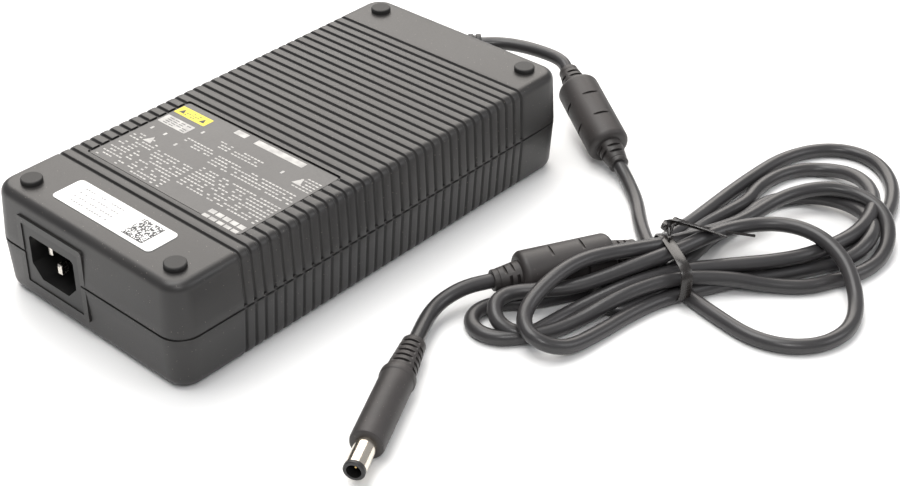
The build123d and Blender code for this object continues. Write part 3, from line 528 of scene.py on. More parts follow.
def profileLevels(upper):   # inset, rise and rib share, from the parting groove to the face
    side = 1 if upper else -1
    reach = case["height"] - case["split"] if upper else case["split"]
    draft = case["upperDraft"] if upper else case["lowerDraft"]
    edge = case["upperEdge"] if upper else case["lowerEdge"]
    slope = atan2(draft, reach)
    half = case["seamHalf"]
    levels = [(case["seamDepth"], 0.0, 0), (case["seamDepth"], half, 0), (0.14, half + 0.02, 0.5),
              (0.03, half + 0.12, 1), (0.0, half + 0.3, 1)]
    levels += [(draft * share, reach * share, 1) for share in (0.2, 0.45)]
    run = edge * (1 / cos(slope) - sin(slope) / cos(slope))   # distance of the arc's start from the corner
    startHeight = reach - run * cos(slope)
    startInset = draft * startHeight / reach
    centreInset = startInset + edge * cos(slope)
    centreHeight = reach - edge
    for i in range(10):
        turn = slope + (pi / 2 - slope) * i / 9
        levels.append((centreInset - edge * cos(turn), centreHeight + edge * sin(turn), 1))
    return side, levels


def shell(name, upper):   # one half of the case, with a closed wall all round
    stations = ribStations()
    side, levels = profileLevels(upper)
    wall = case["wall"]
    rings = []
    outward = []
    for index, (inset, rise, weight) in enumerate(levels):
        ring = planRing(inset, case["split"] + side * rise, stations)
        before = levels[max(index - 1, 0)]
        after = levels[min(index + 1, len(levels) - 1)]
        climb = after[1] - before[1]
        run = after[0] - before[0]
        size = sqrt(climb * climb + run * run) or 1.0
        if index == len(levels) - 1:
            climb, run, size = 0.0, 1.0, 1.0
        for point in ring:
            lean = 1 if point.y > 0 else -1
            outward.append(Vector((0, lean * climb / size, side * run / size)) * weight)
        rings.append(ring)
    inner = [(wall, levels[-1][1] - wall, 0), (wall, 0.0, 0)]
    for inset, rise, weight in inner:
        rings.append(planRing(inset, case["split"] + side * rise, stations))
        outward += [Vector((0, 0, 0))] * len(rings[-1])
    count = len(rings[0])
    verts = [point for ring in rings for point in ring]
    faces = []

    def bridge(first, second):
        for i in range(count):
            j = (i + 1) % count
            faces.append((first * count + i, first * count + j, second * count + j, second * count + i))

    def lid(level):
        n = len(stations)
        far = [level * count + i for i in range(n)]
        nearStart = n + 7 + 7 + 7
        near = [level * count + nearStart + (n - 1 - i) for i in range(n)]
        for i in range(n - 1):
            faces.append((far[i], far[i + 1], near[i + 1], near[i]))
        faces.append(tuple(level * count + i for i in range(n - 1, nearStart + 1)))
        faces.append(tuple([level * count + i for i in range(nearStart + n - 1, count)] + [level * count]))

    outer = len(levels)
    for level in range(outer - 1):
        bridge(level, level + 1)
    lid(outer - 1)
    bridge(outer, outer + 1)
    lid(outer)
    bridge(outer + 1, 0)
    item = piece(name, "casePlastic", verts, faces)
    layer = item.data.attributes.new("outward", "FLOAT_VECTOR", "POINT")
    layer.data.foreach_set("vector", [part for vector in outward for part in vector])
    values = {"Pitch": case["pitch"] * mm, "First": case["firstRib"] * mm, "Count": case["ribCount"],
              "Half Width": case["grooveHalf"] * mm, "Shoulder": case["shoulder"] * mm,
              "Depth": case["grooveDepth"] * mm, "Crown": case["crown"] * mm,
              "Material": finish["casePlastic"]}
    grown(item, ribs, values)
    faceOut(item)
    return item


inlet = {"y": 16.6, "z": 21.8, "width": 31.2, "height": 24.5, "border": 2.6, "corner": 1.4}
label = {"x": -38.7, "length": 49.0, "width": 81.0, "depth": 0.8, "corner": 1.2}
feet = {"x": 89.0, "y": 38.3, "collar": 10.7, "collarHeight": 1.2, "pocket": 8.2, "pocketDepth": 2.2}
gland = {"y": 24.5, "z": 22.0, "neck": 11.8, "flange": 15.0, "flangeThickness": 2.0, "bend": 32.0,
         "sweep": 45.0, "rings": 9, "firstRadius": 5.5, "lastRadius": 4.2, "thickness": 2.1, "core": 8.6}


def padTool():
    half = inlet["width"] / 2 + inlet["border"]
    rise = inlet["height"] / 2 + inlet["border"]
    left = -case["length"] / 2
    return roundedBlock("padTool", "casePlastic", (left - 0.02, inlet["y"] - half, inlet["z"] - rise),
                        (left + case["wall"] + 0.4, inlet["y"] + half, inlet["z"] + rise), inlet["corner"])


def inletWindow():
    half = inlet["width"] / 2
    rise = inlet["height"] / 2
    left = -case["length"] / 2
    return roundedBlock("window", "casePlastic", (left - 5, inlet["y"] - half, inlet["z"] - rise),
                        (left + 8, inlet["y"] + half, inlet["z"] + rise), 0.5)


def glandHole():
    start = Vector((case["length"] / 2 - 8, gland["y"], gland["z"])) * mm
    radius = gland["neck"] / 2
    hole = turned("hole", "casePlastic", [(0, 0.01), (0, radius), (16, radius), (16, 0.01)], start,
                  Vector((1, 0, 0)), 48)
    return hole


def makeShells():
    half = case["seamHalf"]
    split = case["split"]
    for upper in (True, False):
        name = "case_upper" if upper else "case_lower"
        item = shell(name, upper)
        pad = padTool()
        keep = (split + half, 60) if upper else (-5, split - half)
        slab = roundedBlock("slab", "casePlastic", (-120, -60, keep[0]), (-80, 60, keep[1]), 0.5)
        carve(pad, [slab], "INTERSECT")
        carve(item, [pad], "UNION")
        tools = [inletWindow(), glandHole()]
        if upper:
            top = case["height"]
            halfLong = label["length"] / 2
            low = (label["x"] - halfLong, -label["width"] / 2, top - label["depth"])
            high = (label["x"] + halfLong, label["width"] / 2, top + 3)
            tools.append(roundedBlock("recess", "casePlastic", low, high, label["corner"], "Z"))
            for sideX in (-1, 1):
                for sideY in (-1, 1):
                    centre = Vector((sideX * feet["x"], sideY * feet["y"], 0)) * mm
                    radius = feet["collar"] / 2
                    rise = feet["collarHeight"]
                    outline = [(top - 1, 0.01), (top - 1, radius + 0.25), (top, radius + 0.25),
                               (top + 0.12, radius + 0.06), (top + 0.35, radius), (top + rise - 0.4, radius),
                               (top + rise - 0.15, radius - 0.08), (top + rise, radius - 0.35),
                               (top + rise, 0.01)]
                    ring = turned("collar", "casePlastic", outline, centre, Vector((0, 0, 1)), 48)
                    carve(item, [ring], "UNION")
                    bottom = top - feet["pocketDepth"]
                    radius = feet["pocket"] / 2
                    outline = [(bottom, 0.01), (bottom, radius), (top + 5, radius), (top + 5, 0.01)]
                    tools.append(turned("pocket", "casePlastic", outline, centre, Vector((0, 0, 1)), 48))
        carve(item, tools)
        smoothBelow(item, 32)
        item.data.materials.clear()
        item.data.materials.append(finish["casePlastic"])
        place(item, "case_plastic", ["upper_shell" if upper else "lower_shell"])
        print(name, "faces:", len(item.data.polygons))


makeShells()


# label, sticker and their printed marks
def flatMark(name, material, x0, x1, y0, y1, height, corner=0.3):
    return roundedBlock(name, material, (x0, y0, height), (x1, y1, height + 0.03), corner, "Z", 3)


def marks(name, material, rows, columns, rowPitch, columnPitch, dash, height, fill, seed, corner):
    item = piece(name, material)
    values = {"Rows": rows, "Columns": columns, "Row Pitch": rowPitch * mm, "Column Pitch": columnPitch * mm,
              "Dash": dash * mm, "Height": height * mm, "Fill": fill, "Seed": seed,
              "Corner": tuple(at(*corner)), "Material": finish[material]}
    grown(item, smallMarks, values)
    return item


def triangle(name, material, x, y, size, height):
    half = size / 2
    verts = [at(x - half, y - half, height), at(x + half, y, height), at(x - half, y + half, height)]
    lifted = [v + at(0, 0, 0.03) for v in verts]
    faces = [(0, 2, 1), (3, 4, 5), (0, 1, 4, 3), (1, 2, 5, 4), (2, 0, 3, 5)]
    item = piece(name, material, verts + lifted, faces)
    faceOut(item)
    return item


def makeLabel():
    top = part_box("rating_label")[1].z / mm
    low = top + 0.005
    high = low + 0.04
    white = [flatMark("panel", "printWhite", -31.3, -25.6, 24, 39, low, 0.5),
             flatMark("bar", "printWhite", -19, -16, -25, 0, low, 0.2),
             flatMark("tab", "printWhite", -18.7, -15.9, 5, 11, low, 0.2)]
    # blocks of small marks: corner x, y, columns, rows, column pitch, row pitch, dash, height, fill, seed
    blocks = [(-62.2, -37, 2, 5, 3.4, 3.6, 3.0, 2.1, 1.0, 4),
              (-54.5, -38, 8, 23, 1.75, 1.75, 1.3, 0.62, 0.74, 5),
              (-61, 4, 10, 11, 1.75, 1.75, 1.3, 0.62, 0.7, 7),
              (-61, 25, 12, 8, 1.75, 1.75, 1.3, 0.62, 0.66, 8),
              (-38.5, -38, 4, 24, 1.75, 1.75, 1.3, 0.62, 0.72, 9),
              (-29, -38, 5, 5, 1.6, 1.75, 1.3, 0.55, 0.75, 10),
              (-29, -12, 3, 13, 1.6, 1.75, 1.3, 0.6, 0.7, 11),
              (-35.5, 6, 3, 9, 1.6, 1.75, 1.3, 0.6, 0.7, 12)]
    for index, (x, y, columns, rows, columnPitch, rowPitch, dash, height, fill, seed) in enumerate(blocks):
        white.append(marks(f"lines{index}", "printWhite", rows, columns, rowPitch, columnPitch, dash, height,
                           fill, seed, (x, y, low)))
    rings = ((-36, 29, 3.1), (-36, 36.2, 2.7), (-26, 19.5, 2.4), (-25.5, -22, 3.2), (-38.4, 20.5, 2.6))
    for x, y, radius in rings:
        outline = [(0, radius - 0.45), (0, radius), (0.03, radius), (0.03, radius - 0.45)]
        white.append(turned("ring", "printWhite", outline, at(x, y, low), Vector((0, 0, 1)), 32))
        white.append(flatMark("core", "printWhite", x - 0.9, x + 0.9, y - 0.5, y + 0.5, low, 0.2))
    white += [triangle("sign", "printWhite", x, y, 4.2, low) for x, y in ((-25.6, -31), (-42, 30))]
    printed = join(white)
    printed.name = "label_print_white"
    place(printed, "label_film")
    yellow = flatMark("label_print_yellow", "printYellow", -23, -17.7, 22.7, 39.4, low, 0.3)
    place(yellow, "label_film")
    dark = [triangle("sign", "printBlack", -20.4, y, 2.6, high) for y in (25.5, 36.5)]
    dark.append(marks("dots", "printBlack", 5, 3, 1.5, 1.2, 1.0, 0.45, 0.8, 3, (-21.7, 28.2, high)))
    dark.append(marks("lines", "printBlack", 4, 4, 3.1, 1.2, 2.3, 0.4, 0.8, 6, (-30.4, 26.3, high)))
    printed = join(dark)
    printed.name = "label_print_dark"
    place(printed, "label_film")


def makeSticker():
    lowCorner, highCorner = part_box("end_sticker")
    x0, y0 = lowCorner.x / mm, lowCorner.y / mm
    top = highCorner.z / mm + 0.005
    cell = 0.47
    corner = (x0 + 2.2, y0 + 6.2, top)
    cells = marks("modules", "printBlack", 22, 22, cell, cell, cell, cell, 0.56, 21, corner)
    edges = [flatMark("edge", "printBlack", x0 + 1.8, x0 + 2.2, y0 + 5.8, y0 + 16.5, top - 0.01, 0.05),
             flatMark("edge", "printBlack", x0 + 2.2, x0 + 12.4, y0 + 5.8, y0 + 6.2, top - 0.01, 0.05)]
    lines = marks("lines", "printGrey", 15, 4, 1.4, 2.6, 1.05, 0.7, 0.8, 5, (x0 + 2.9, y0 + 26, top))
    printed = join([cells, lines, *edges])
    printed.name = "sticker_print"
    place(printed, "sticker_paper")


makeLabel()
makeSticker()
print("printed marks made")


# lead outlet
def makeGland():
    centre = Vector((case["length"] / 2, gland["y"], gland["z"])) * mm
    flange = gland["flange"] / 2
    thick = gland["flangeThickness"]
    neck = gland["neck"] / 2
    outline = [(-4, 0.5), (-4, neck - 0.1), (0, neck - 0.1), (0, flange - 0.3), (0.3, flange),
               (thick - 0.7, flange), (thick - 0.2, flange - 0.3), (thick, flange - 0.9), (thick + 0.25, 5.2),
               (thick + 0.3, 2.0)]
    body = turned("cord_outlet", "glandRubber", outline, centre, Vector((1, 0, 0)))
    item = piece("rings", "glandRubber")
    values = {"Count": gland["rings"], "Bend": gland["bend"] * mm, "Sweep": radians(gland["sweep"]),
              "First Radius": gland["firstRadius"] * mm, "Last Radius": gland["lastRadius"] * mm,
              "Thickness": gland["thickness"] * mm, "Material": finish["glandRubber"]}
    grown(item, reliefRings, values)
    item.data.transform(Matrix.Translation(centre + at(thick, 0, 0)))
    faceOut(item)
    soften = item.modifiers.new("soften", "BEVEL")
    soften.width = 0.35 * mm
    soften.segments = 3
    bake(item)
    radius = gland["core"] / 2
    steps = 24
    verts = []
    for i in range(steps + 1):
        angle = radians(gland["sweep"]) * i / steps
        middle = centre + at(thick + gland["bend"] * sin(angle), gland["bend"] * (cos(angle) - 1))
        sideways = Vector((sin(angle), cos(angle), 0))
        size = radius + (gland["lastRadius"] - 0.6 - radius) * i / steps
        for k in range(32):
            turn = 2 * pi * k / 32
            verts.append(middle + (sideways * cos(turn) + Vector((0, 0, sin(turn)))) * size * mm)
    faces = [(r * 32 + k, r * 32 + (k + 1) % 32, (r + 1) * 32 + (k + 1) % 32, (r + 1) * 32 + k)
             for r in range(steps) for k in range(32)]
    faces += [tuple(range(32)), tuple(steps * 32 + k for k in range(32))]
    core = piece("core", "glandRubber", verts, faces)
    faceOut(core)
    whole = join([body, item, core])
    smoothBelow(whole, 40)
    whole.name = "cord_outlet"
    place(whole, "gland_rubber", ["cord_gland"])
    return whole


outlet = makeGland()

# ferrites
ferrite = {"radius": 8.5, "length": 36.0, "edge": 2.4, "relief": 10.0, "base": 5.4, "tip": 4.0, "ring": 2.0,
           "slotLength": 7.0, "slotDepth": 0.8, "slotWidth": 1.1}
ferriteStarts = [(at(127.8, -35.4, 18.3), Vector((-0.474, -0.843, -0.256)).normalized()),
                 (at(19.7, -93.5, 8.5), Vector((0.886, -0.463, 0)).normalized())]
cordRadius = 2.75


def turnTo(axis, start):
    level = Vector((-axis.y, axis.x, 0)).normalized()
    up = axis.cross(level)
    turn = Matrix((level, up, axis)).transposed().to_4x4()
    return Matrix.Translation(start) @ turn


def slots(rows, first, step, radius, slope, length, width, depth, stagger, matrix):
    item = piece("slots", "ferritePlastic")
    values = {"Rows": rows, "First": first * mm, "Step": step * mm, "Start Radius": radius * mm,
              "Slope": slope, "Length": length * mm, "Width": width * mm, "Depth": depth * mm,
              "Stagger": stagger * mm, "Material": finish["ferritePlastic"]}
    grown(item, crossSlots, values)
    item.data.transform(matrix)
    return item


def reliefOutline(length, base, tip, ring, towards):
    lip = 0.45
    neck = length - ring
    points = [(0.0, base), (neck - 0.2, tip + 0.1), (neck, tip - 0.15), (neck, tip), (length - lip, tip),
              (length - 0.12, tip - 0.16), (length, tip - lip), (length, cordRadius - 0.2)]
    return [(towards * along, radius) for along, radius in points]


def makeFerrite(number):
    start, axis = ferriteStarts[number - 1]
    size = ferrite
    edge = size["edge"]
    first = reliefOutline(size["relief"], size["base"], size["tip"], size["ring"], -1)[::-1]
    last = reliefOutline(size["relief"], size["base"], size["tip"], size["ring"], 1)
    corner = [(edge - edge * cos(a), size["radius"] - edge + edge * sin(a))
              for a in [radians(90 * i / 7) for i in range(8)]]
    mirrored = [(size["length"] - along, radius) for along, radius in corner[::-1]]
    outline = first + corner + mirrored + [(size["length"] + along, radius) for along, radius in last]
    item = turned(f"ferrite_{number}_sleeve", "ferritePlastic", outline, start, axis, 72)
    matrix = turnTo(axis, start)
    step = size["length"] / 3
    cuts = [slots(2, step, step, size["radius"], 0.0, size["slotLength"], size["slotWidth"],
                  size["slotDepth"], 0.0, matrix)]
    slope = (size["tip"] - size["base"]) / (size["relief"] - size["ring"])
    pitch = 2.7
    cuts.append(slots(2, size["length"] + 1.5, pitch, size["base"] + 1.5 * slope, slope, 7.0, 1.15, 1.15,
                      pitch / 2, matrix))
    back = turnTo(-axis, start)
    cuts.append(slots(2, 1.5, pitch, size["base"] + 1.5 * slope, slope, 7.0, 1.15, 1.15, pitch / 2, back))
    carve(item, cuts)
    smoothBelow(item, 35)
    item.data.materials.clear()
    item.data.materials.append(finish["ferritePlastic"])
    place(item, "overmould_plastic", [f"ferrite_{number}_overmould"])
    return item


sleeves = [makeFerrite(1), makeFerrite(2)]

# plug
plug = {"relief": 18.0, "tip": 4.3, "base": 5.5, "collar": 6.3, "collarLength": 3.0, "radius": 5.95,
        "length": 32.5, "ring": 2.0}
plugStart = at(-32.4, -91.1, 6.3)
plugAxis = Vector((-0.898, -0.440, 0)).normalized()


def makePlug():
    size = plug
    relief = [(size["relief"] + along, radius) for along, radius in
              reliefOutline(size["relief"], size["base"], size["tip"], size["ring"], -1)[::-1]]
    neck = size["relief"]
    body = neck + size["collarLength"]
    end = body + size["length"]
    outline = relief + [(neck, size["collar"] - 0.5), (neck + 0.15, size["collar"] - 0.15),
                        (neck + 0.5, size["collar"]), (body - 0.5, size["collar"]),
                        (body - 0.15, size["collar"] - 0.15), (body, size["collar"] - 0.3),
                        (body + 0.3, size["radius"]), (end - 1.2, size["radius"]),
                        (end - 0.4, size["radius"] - 0.25), (end, size["radius"] - 0.9), (end, 3.6),
                        (end - 6, 3.5), (end - 6, 3.3)]
    item = turned("plug_grip", "plugPlastic", outline, plugStart, plugAxis, 72)
    slope = (size["tip"] - size["base"]) / (size["relief"] - size["ring"])
    step = 2.9
    matrix = turnTo(-plugAxis, plugStart + plugAxis * size["relief"] * mm)
    cuts = [slots(5, 1.5, step, size["base"] + 1.5 * slope, slope, 7.4, 1.2, 1.25, step / 2, matrix)]
    carve(item, cuts)
    smoothBelow(item, 35)
    item.data.materials.clear()
    item.data.materials.append(finish["plugPlastic"])
    place(item, "overmould_plastic", ["plug_overmould"])
    return item


grip = makePlug()
print("ferrites and plug made")

# lead
cordSizes = {"diameter": 5.5, "bevelSteps": 7, "smoothness": 8}
reliefEnd = at(124.627, 15.127, 22)
heading = Vector((0.70711, -0.70711, 0))
start1, axis1 = ferriteStarts[0]
start2, axis2 = ferriteStarts[1]
farEnd = ferrite["length"] + ferrite["relief"]
leadIn = start1 - axis1 * ferrite["relief"] * mm
leadOut = start1 + axis1 * farEnd * mm
tailIn = start2 - axis2 * ferrite["relief"] * mm
tailOut = start2 + axis2 * farEnd * mm


def lobe(centre, long, wide, tilt, first, last, count, heights):   # one turn of the hank
    points = []
    for i in range(count):
        share = i / (count - 1)
        turn = radians(first + (last - first) * share)
        spot = Vector((long * cos(turn), wide * sin(turn)))
        lean = radians(tilt)
        x = centre[0] + spot.x * cos(lean) - spot.y * sin(lean)
        y = centre[1] + spot.x * sin(lean) + spot.y * cos(lean)
        reach = share * (len(heights) - 1)
        index = min(int(reach), len(heights) - 2)
        z = heights[index] + (heights[index + 1] - heights[index]) * (reach - index)
        points.append(at(x, y, z))
    return points


def tied(across, height):   # where a strand crosses the tie
    return [at(62.5 + 0.6 * across, -129 + 0.8 * across, height)]


def leadRoute():
    floor = 2.76
    route = [reliefEnd - heading * 8 * mm, reliefEnd, reliefEnd + heading * 9.3 * mm, at(134.4, 0.6, 22.3),
             at(136.0, -9.8, 22.6), leadIn - axis1 * 7.0 * mm, leadIn, leadIn + axis1 * 19 * mm,
             leadOut - axis1 * 19 * mm, leadOut, leadOut + axis1 * 9.0 * mm, at(94.2, -91.6, floor),
             at(83.2, -101.0, floor), at(73.8, -111.0, floor)]
    # round the front lobe, from below the bundle
    route += [at(66.0, -122.0, floor), at(59.5, -133.0, floor), at(55.5, -144.5, floor)]
    heights = (floor,) * 7 + (5.0, 9.5, 12.5, 14.2, 14.2, 13.8)
    route += lobe((78.4, -165.1), 29.5, 25.7, 53.1, 118, 350, 16, heights)
    route += [at(92.0, -138.5, 13.5), at(81.5, -134.3, 14.0)] + tied(-1.5, 14.0)
    # left loop on top of the others
    route += [at(48.0, -124.5, 13.0), at(36.0, -119.0, 11.0), at(25.0, -113.0, 9.5)]
    route += [at(15.0, -103.7, 9.2)]
    route += lobe((5.0, -106.0), 8.8, 8.4, -20, 65, 285, 8, (9.0, 8.4, 4.5, floor)) + [at(10.5, -115.2, 2.9)]
    route += [at(19.0, -116.5, 3.2), at(30.0, -120.5, 5.5), at(42.0, -126.0, 8.3)] + tied(-5, 8.3)
    # second right loop
    route += [at(76.5, -146.5, 8.3), at(88.0, -156.0, 8.3), at(100.0, -163.2, 8.3)]
    route += lobe((130.8, -144.5), 34.0, 23.0, 14.8, -125, 95, 14, (8.3, 8.3, 6.0, floor, floor, floor))
    route += [at(108.5, -121.2, floor), at(95.0, -121.2, 4.5), at(83.0, -123.8, 7.5)] + tied(5, 8.3)
    # widest left loop
    route += [at(50.5, -120.8, 5.0), at(38.0, -114.5, floor), at(26.5, -108.2, floor),
              at(16.0, -102.3, floor)]
    route += lobe((2.2, -102.7), 12.3, 10.2, -40, 80, 262, 8, (floor, floor))
    route += [at(6.0, -118.0, floor), at(18.0, -121.8, 3.4), at(31.0, -126.2, 7.0), at(43.0, -130.0, 8.3)]
    route += tied(-9, 8.3)
    # third right loop, over the first two
    route += [at(72.0, -149.0, 6.0), at(80.0, -158.5, 3.4), at(88.5, -169.0, floor)]
    route += lobe((116.3, -157.3), 29.5, 22.8, -8.9, -125, 92, 14, (floor, floor, 8.3, 10.5, 8.5))
    route += [at(103.0, -133.5, 8.4), at(90.0, -130.5, 9.4), at(77.0, -127.8, 11.5)] + tied(4, 14.0)
    # left loop against the ferrite
    route += [at(55.5, -122.3, 15.5), at(46.5, -118.0, 16.4), at(38.0, -113.2, 16.5), at(30.0, -110.7, 16.4),
              at(22.5, -109.6, 15.6), at(14.5, -109.0, 13.8), at(7.0, -109.4, 11.6), at(0.6, -111.6, 10.0),
              at(-3.6, -116.0, 8.8), at(-4.2, -121.4, 7.4), at(-1.2, -126.2, 5.4), at(5.2, -129.4, 3.6),
              at(19.0, -131.0, floor),
              at(33.0, -132.3, floor), at(46.0, -134.8, floor)]
    route += tied(-12, floor)
    # fourth right loop
    route += [at(66.5, -144.0, floor), at(76.0, -149.0, floor), at(85.5, -156.0, floor)]
    route += lobe((121.0, -151.0), 23.0, 23.0, 0, -135, 105, 14, (floor, 7.5, 5.0, floor, floor))
    route += [at(104.0, -127.8, floor), at(92.0, -126.8, 3.2), at(80.0, -128.0, 3.0)] + tied(1.5, floor)
    # short loop under the tied middle
    route += [at(52.0, -122.3, floor)]
    route += lobe((39.5, -122.6), 7.9, 7.9, -27, 75, 285, 9, (floor, floor)) + [at(43.5, -131.2, floor)]
    route += [at(51.0, -132.0, floor)] + tied(-4.5, floor)
    # outermost right loop
    route += [at(72.0, -139.5, floor), at(84.0, -146.5, floor), at(95.0, -156.5, floor)]
    route += lobe((138.5, -142.3), 44.0, 27.0, 8.4, -122, 78, 15, (floor, floor))
    route += [at(131.0, -114.5, floor), at(117.0, -114.6, floor), at(103.0, -115.5, 3.4),
              at(92.0, -117.0, 5.2), at(81.5, -118.6, 7.6), tailOut + axis2 * 9 * mm, tailOut,
              tailOut - axis2 * 19 * mm]
    route += [tailIn + axis2 * 19 * mm, tailIn, tailIn - axis2 * 10 * mm, at(-7.5, -81.9, 6.9),
              at(-16.2, -83.2, 5.8),
              plugStart - plugAxis * 9 * mm, plugStart, plugStart + plugAxis * 12 * mm]
    return route


def makeLead():
    points = leadRoute()
    curve = bpy.data.curves.new("dc_lead", "CURVE")
    curve.dimensions = "3D"
    curve.bevel_depth = cordSizes["diameter"] / 2 * mm
    curve.bevel_resolution = cordSizes["bevelSteps"]
    curve.resolution_u = cordSizes["smoothness"]
    curve.use_fill_caps = True
    line = curve.splines.new("NURBS")
    line.points.add(len(points) - 1)
    for spot, point in zip(line.points, points):
        spot.co = (*point, 1.0)
    line.order_u = 3
    line.use_endpoint_u = True
    curve.materials.append(finish["leadJacket"])
    item = bpy.data.objects.new("dc_lead", curve)
    bpy.context.scene.collection.objects.link(item)
    bare = curve.copy()
    bare.bevel_depth = 0
    probe = bpy.data.objects.new("probe", bare)
    bpy.context.scene.collection.objects.link(probe)
    bpy.context.view_layer.update()
    mesh = bpy.data.meshes.new_from_object(probe.evaluated_get(bpy.context.evaluated_depsgraph_get()))
    ends = [[mesh.vertices[i].co for i in edge.vertices] for edge in mesh.edges]
    length = sum((first - second).length for first, second in ends)
    bpy.data.objects.remove(probe)
    print("lead length m:", round(length, 4), "points:", len(points))
    return item, length


lead, leadLength = makeLead()


# twist tie
tie = {"centre": (60.4, -130.9), "turn": -34.0, "reach": 14.0, "height": 17.4, "width": 4.2, "thickness": 0.7,
       "tailWidth": 3.0, "tailThickness": 0.9}


def ribbon(name, material, line, width, thickness):
    verts = []
    count = len(line)
    for i, (spot, side) in enumerate(line):
        ahead = line[min(i + 1, count - 1)][0] - line[max(i - 1, 0)][0]
        side = side.normalized()
        lift = side.cross(ahead.normalized()).normalized()
        for across, up in ((-1, -1), (1, -1), (1, 1), (-1, 1)):
            verts.append(spot + side * across * width / 2 * mm + lift * up * thickness / 2 * mm)
    faces = [(i * 4 + k, i * 4 + (k + 1) % 4, i * 4 + 4 + (k + 1) % 4, i * 4 + 4 + k)
             for i in range(count - 1) for k in range(4)]
    faces += [(0, 1, 2, 3), tuple((count - 1) * 4 + k for k in (3, 2, 1, 0))]
    item = piece(name, material, verts, faces)
    faceOut(item)
    soften = item.modifiers.new("soften", "BEVEL")
    soften.width = 0.2 * mm
    soften.segments = 2
    bake(item)
    return item


def makeTie():
    size = tie
    turn = Matrix.Rotation(radians(size["turn"]), 3, "Z")
    centre = Vector((*size["centre"], 0))
    along = turn @ Vector((1, 0, 0))
    band = []
    steps = 44
    rise = size["height"] / 2
    for i in range(steps + 1):
        angle = 2 * pi * i / steps
        squash = 0.62
        c = abs(cos(angle)) ** squash * (1 if cos(angle) > 0 else -1)
        s = abs(sin(angle)) ** squash * (1 if sin(angle) > 0 else -1)
        spot = centre + turn @ Vector((0.3 * sin(3 * angle), size["reach"] * c, 0))
        band.append((at(spot.x, spot.y, rise + (rise - 0.5) * s), along))
    parts = [ribbon("band", "tiePlastic", band, size["width"], size["thickness"])]
    knotStart = centre + turn @ Vector((0, 5.0, size["height"] + 0.2))
    tails = [[(0, 0, 0), (2, 2.6, 1.5), (3.4, 5.4, 1.4), (5.5, 7.0, 2.2), (9, 6.4, 0.6), (14, 5.2, -1.2),
              (20, 4.0, -2.6), (27, 2.6, -4.0), (34, 1.0, -5.2)],
             [(0.6, 0.6, 0.8), (1.0, 3.2, 2.2), (0.2, 5.8, 1.0), (2.2, 7.6, 1.0), (6, 6.0, 2.0),
              (11, 3.2, 1.2), (16, 0.4, 0.0), (21, -3.0, -1.0)]]
    for index, tail in enumerate(tails):
        line = []
        for i, (x, y, z) in enumerate(tail):
            spin = radians(200 * i / 3) if i < 4 else radians(267 + 8 * i)
            side = Vector((0.3, cos(spin), sin(spin)))
            spot = knotStart + turn @ Vector((x, y, z))
            line.append((at(spot.x, spot.y, spot.z), turn @ side))
        smooth = []
        for i in range(len(line) - 1):
            for part in range(5):
                share = part / 5
                smooth.append([first.lerp(second, share) for first, second in zip(line[i], line[i + 1])])
        smooth.append(line[-1])
        parts.append(ribbon(f"tail{index}", "tiePlastic", smooth, size["tailWidth"],
                            size["tailThickness"]))
    whole = join(parts)
    whole.name = "bundle_tie"
    smoothBelow(whole, 40)
    place(whole, "tie_plastic", ["twist_tie"])
    return whole


strap = makeTie()
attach(lead, "root")
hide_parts("lead_case_to_ferrite", "lead_in_ferrite_1", "lead_ferrite_to_hank", "lead_hank",
            "lead_in_ferrite_2", "lead_ferrite_to_plug")
print("lead and tie made")

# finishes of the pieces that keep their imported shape
nodeFinish = {
    "case_screws": "screwSteel", "rating_label": "labelFilm", "end_sticker": "stickerPaper",
    "inlet_body": "inletPlastic", "line_pin": "pinNickel", "neutral_pin": "pinNickel",
    "earth_pin": "pinNickel",
    "ferrite_1_core": "ferriteCeramic", "ferrite_2_core": "ferriteCeramic", "barrel_sleeve": "barrelNickel",
    "barrel_insulator": "barrelLiner", "centre_pin": "contactBrass", "insulation_sheet": "insulationFilm",
    "heat_spreader_tray": "spreaderCopper", "heat_spreader_cover": "spreaderCopper",
    "board_spacers": "spacerNylon", "circuit_board": "boardLaminate", "input_fuse": "fuseCeramic",
    "line_filter_capacitor": "capacitorFilm", "common_mode_choke_core": "ferriteCeramic",
    "common_mode_choke_winding": "copperWire", "boost_choke_core": "ferriteCeramic",
    "boost_choke_winding": "copperWire", "primary_heatsink": "heatsinkAluminium",
    "secondary_heatsink": "heatsinkAluminium", "bridge_rectifier": "packageResin",
    "output_rectifier": "packageResin", "bulk_capacitor": "capacitorSleeve",
    "transformer_core": "ferriteCeramic", "transformer_winding": "windingTape", "line_wire": "wireBrown",
    "neutral_wire": "wireBlue", "earth_wire": "wireGreen", "output_wire_positive": "wireRed",
    "output_wire_return": "wireBlack",
}
prefixFinish = {"rubber_foot": "footRubber", "switching_transistor": "packageResin",
                "output_capacitor": "capacitorSleeve"}


def finishOf(name):
    for prefix, chosen in prefixFinish.items():
        if name.startswith(prefix):
            return chosen
    return nodeFinish.get(name, "casePlastic")


for name, item in nodes.items():
    item.data.materials.clear()
    item.data.materials.append(finish[finishOf(name)])


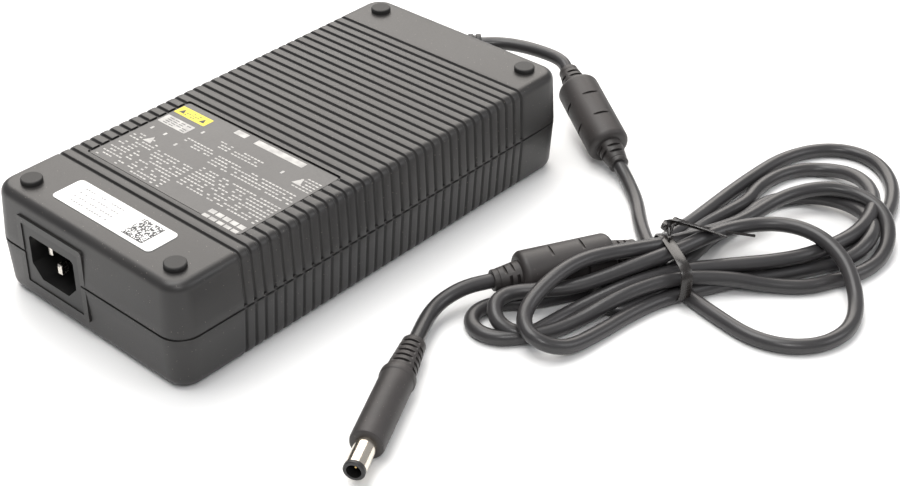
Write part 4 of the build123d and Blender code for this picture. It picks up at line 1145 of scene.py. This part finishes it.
# floor, light and camera
def makeStage():
    material, bench = blank("paleFloor")
    place = bench.add("ShaderNodeTexCoord")["Object"]
    cloud = grain(bench, place, 3.0)
    shade = mixed(bench, cloud, (0.86, 0.86, 0.86, 1), (0.89, 0.89, 0.885, 1))
    surface(bench, shade, 0.75)
    mesh = bpy.data.meshes.new("floor")
    mesh.from_pydata([(-4, -4, 0), (4, -4, 0), (4, 4, 0), (-4, 4, 0)], [], [(0, 1, 2, 3)])
    mesh.materials.append(material)
    floor = bpy.data.objects.new("floor", mesh)
    bpy.context.scene.collection.objects.link(floor)


def softLight(name, position, target, size, power, colour):
    lamp = bpy.data.lights.new(name, "AREA")
    lamp.shape = "RECTANGLE"
    lamp.size, lamp.size_y = size
    lamp.energy = power
    lamp.color = colour
    item = bpy.data.objects.new(name, lamp)
    item.location = position
    aim = Vector(target) - Vector(position)
    item.rotation_euler = aim.to_track_quat("-Z", "Y").to_euler()
    bpy.context.scene.collection.objects.link(item)


camera = {"place": (-361.474, -393.710, 354.824), "turn": (56.7097, 0.6894, -46.8762), "sensor": 36.0,
          "lens": 66.80, "shift": (0.0670, -0.0385), "nearest": 0.01}


def makeCamera():
    view = bpy.data.cameras.new("view")
    view.sensor_width = camera["sensor"]
    view.lens = camera["lens"]
    view.shift_x, view.shift_y = camera["shift"]
    view.clip_start = camera["nearest"]
    item = bpy.data.objects.new("view", view)
    item.location = at(*camera["place"])
    item.rotation_euler = [radians(angle) for angle in camera["turn"]]
    bpy.context.scene.collection.objects.link(item)
    bpy.context.scene.camera = item


makeStage()
softLight("overhead", (-0.1, 0.3, 1.6), (0, 0, 0), (1.4, 1.0), 24, (1.0, 0.99, 0.97))
softLight("farGlow", (0.95, 0.9, 0.95), (0.02, 0, 0.03), (1.7, 1.1), 22, (1.0, 0.95, 0.895))
softLight("nearKey", (-0.52, -0.68, 0.95), (0, 0, 0.02), (0.35, 0.35), 3.5, (1.0, 0.99, 0.98))
softLight("rightFill", (0.7, -1.2, 0.9), (0.05, -0.05, 0.02), (0.8, 0.6), 4, (0.98, 0.99, 1.0))
makeCamera()
world = bpy.data.worlds.new("studio")
world.use_nodes = True
world.node_tree.nodes["Background"].inputs["Color"].default_value = (0.96, 0.97, 1.0, 1)
world.node_tree.nodes["Background"].inputs["Strength"].default_value = 0.45
bpy.context.scene.world = world
bpy.context.scene.view_settings.view_transform = "Standard"
print("floor, light and camera made")
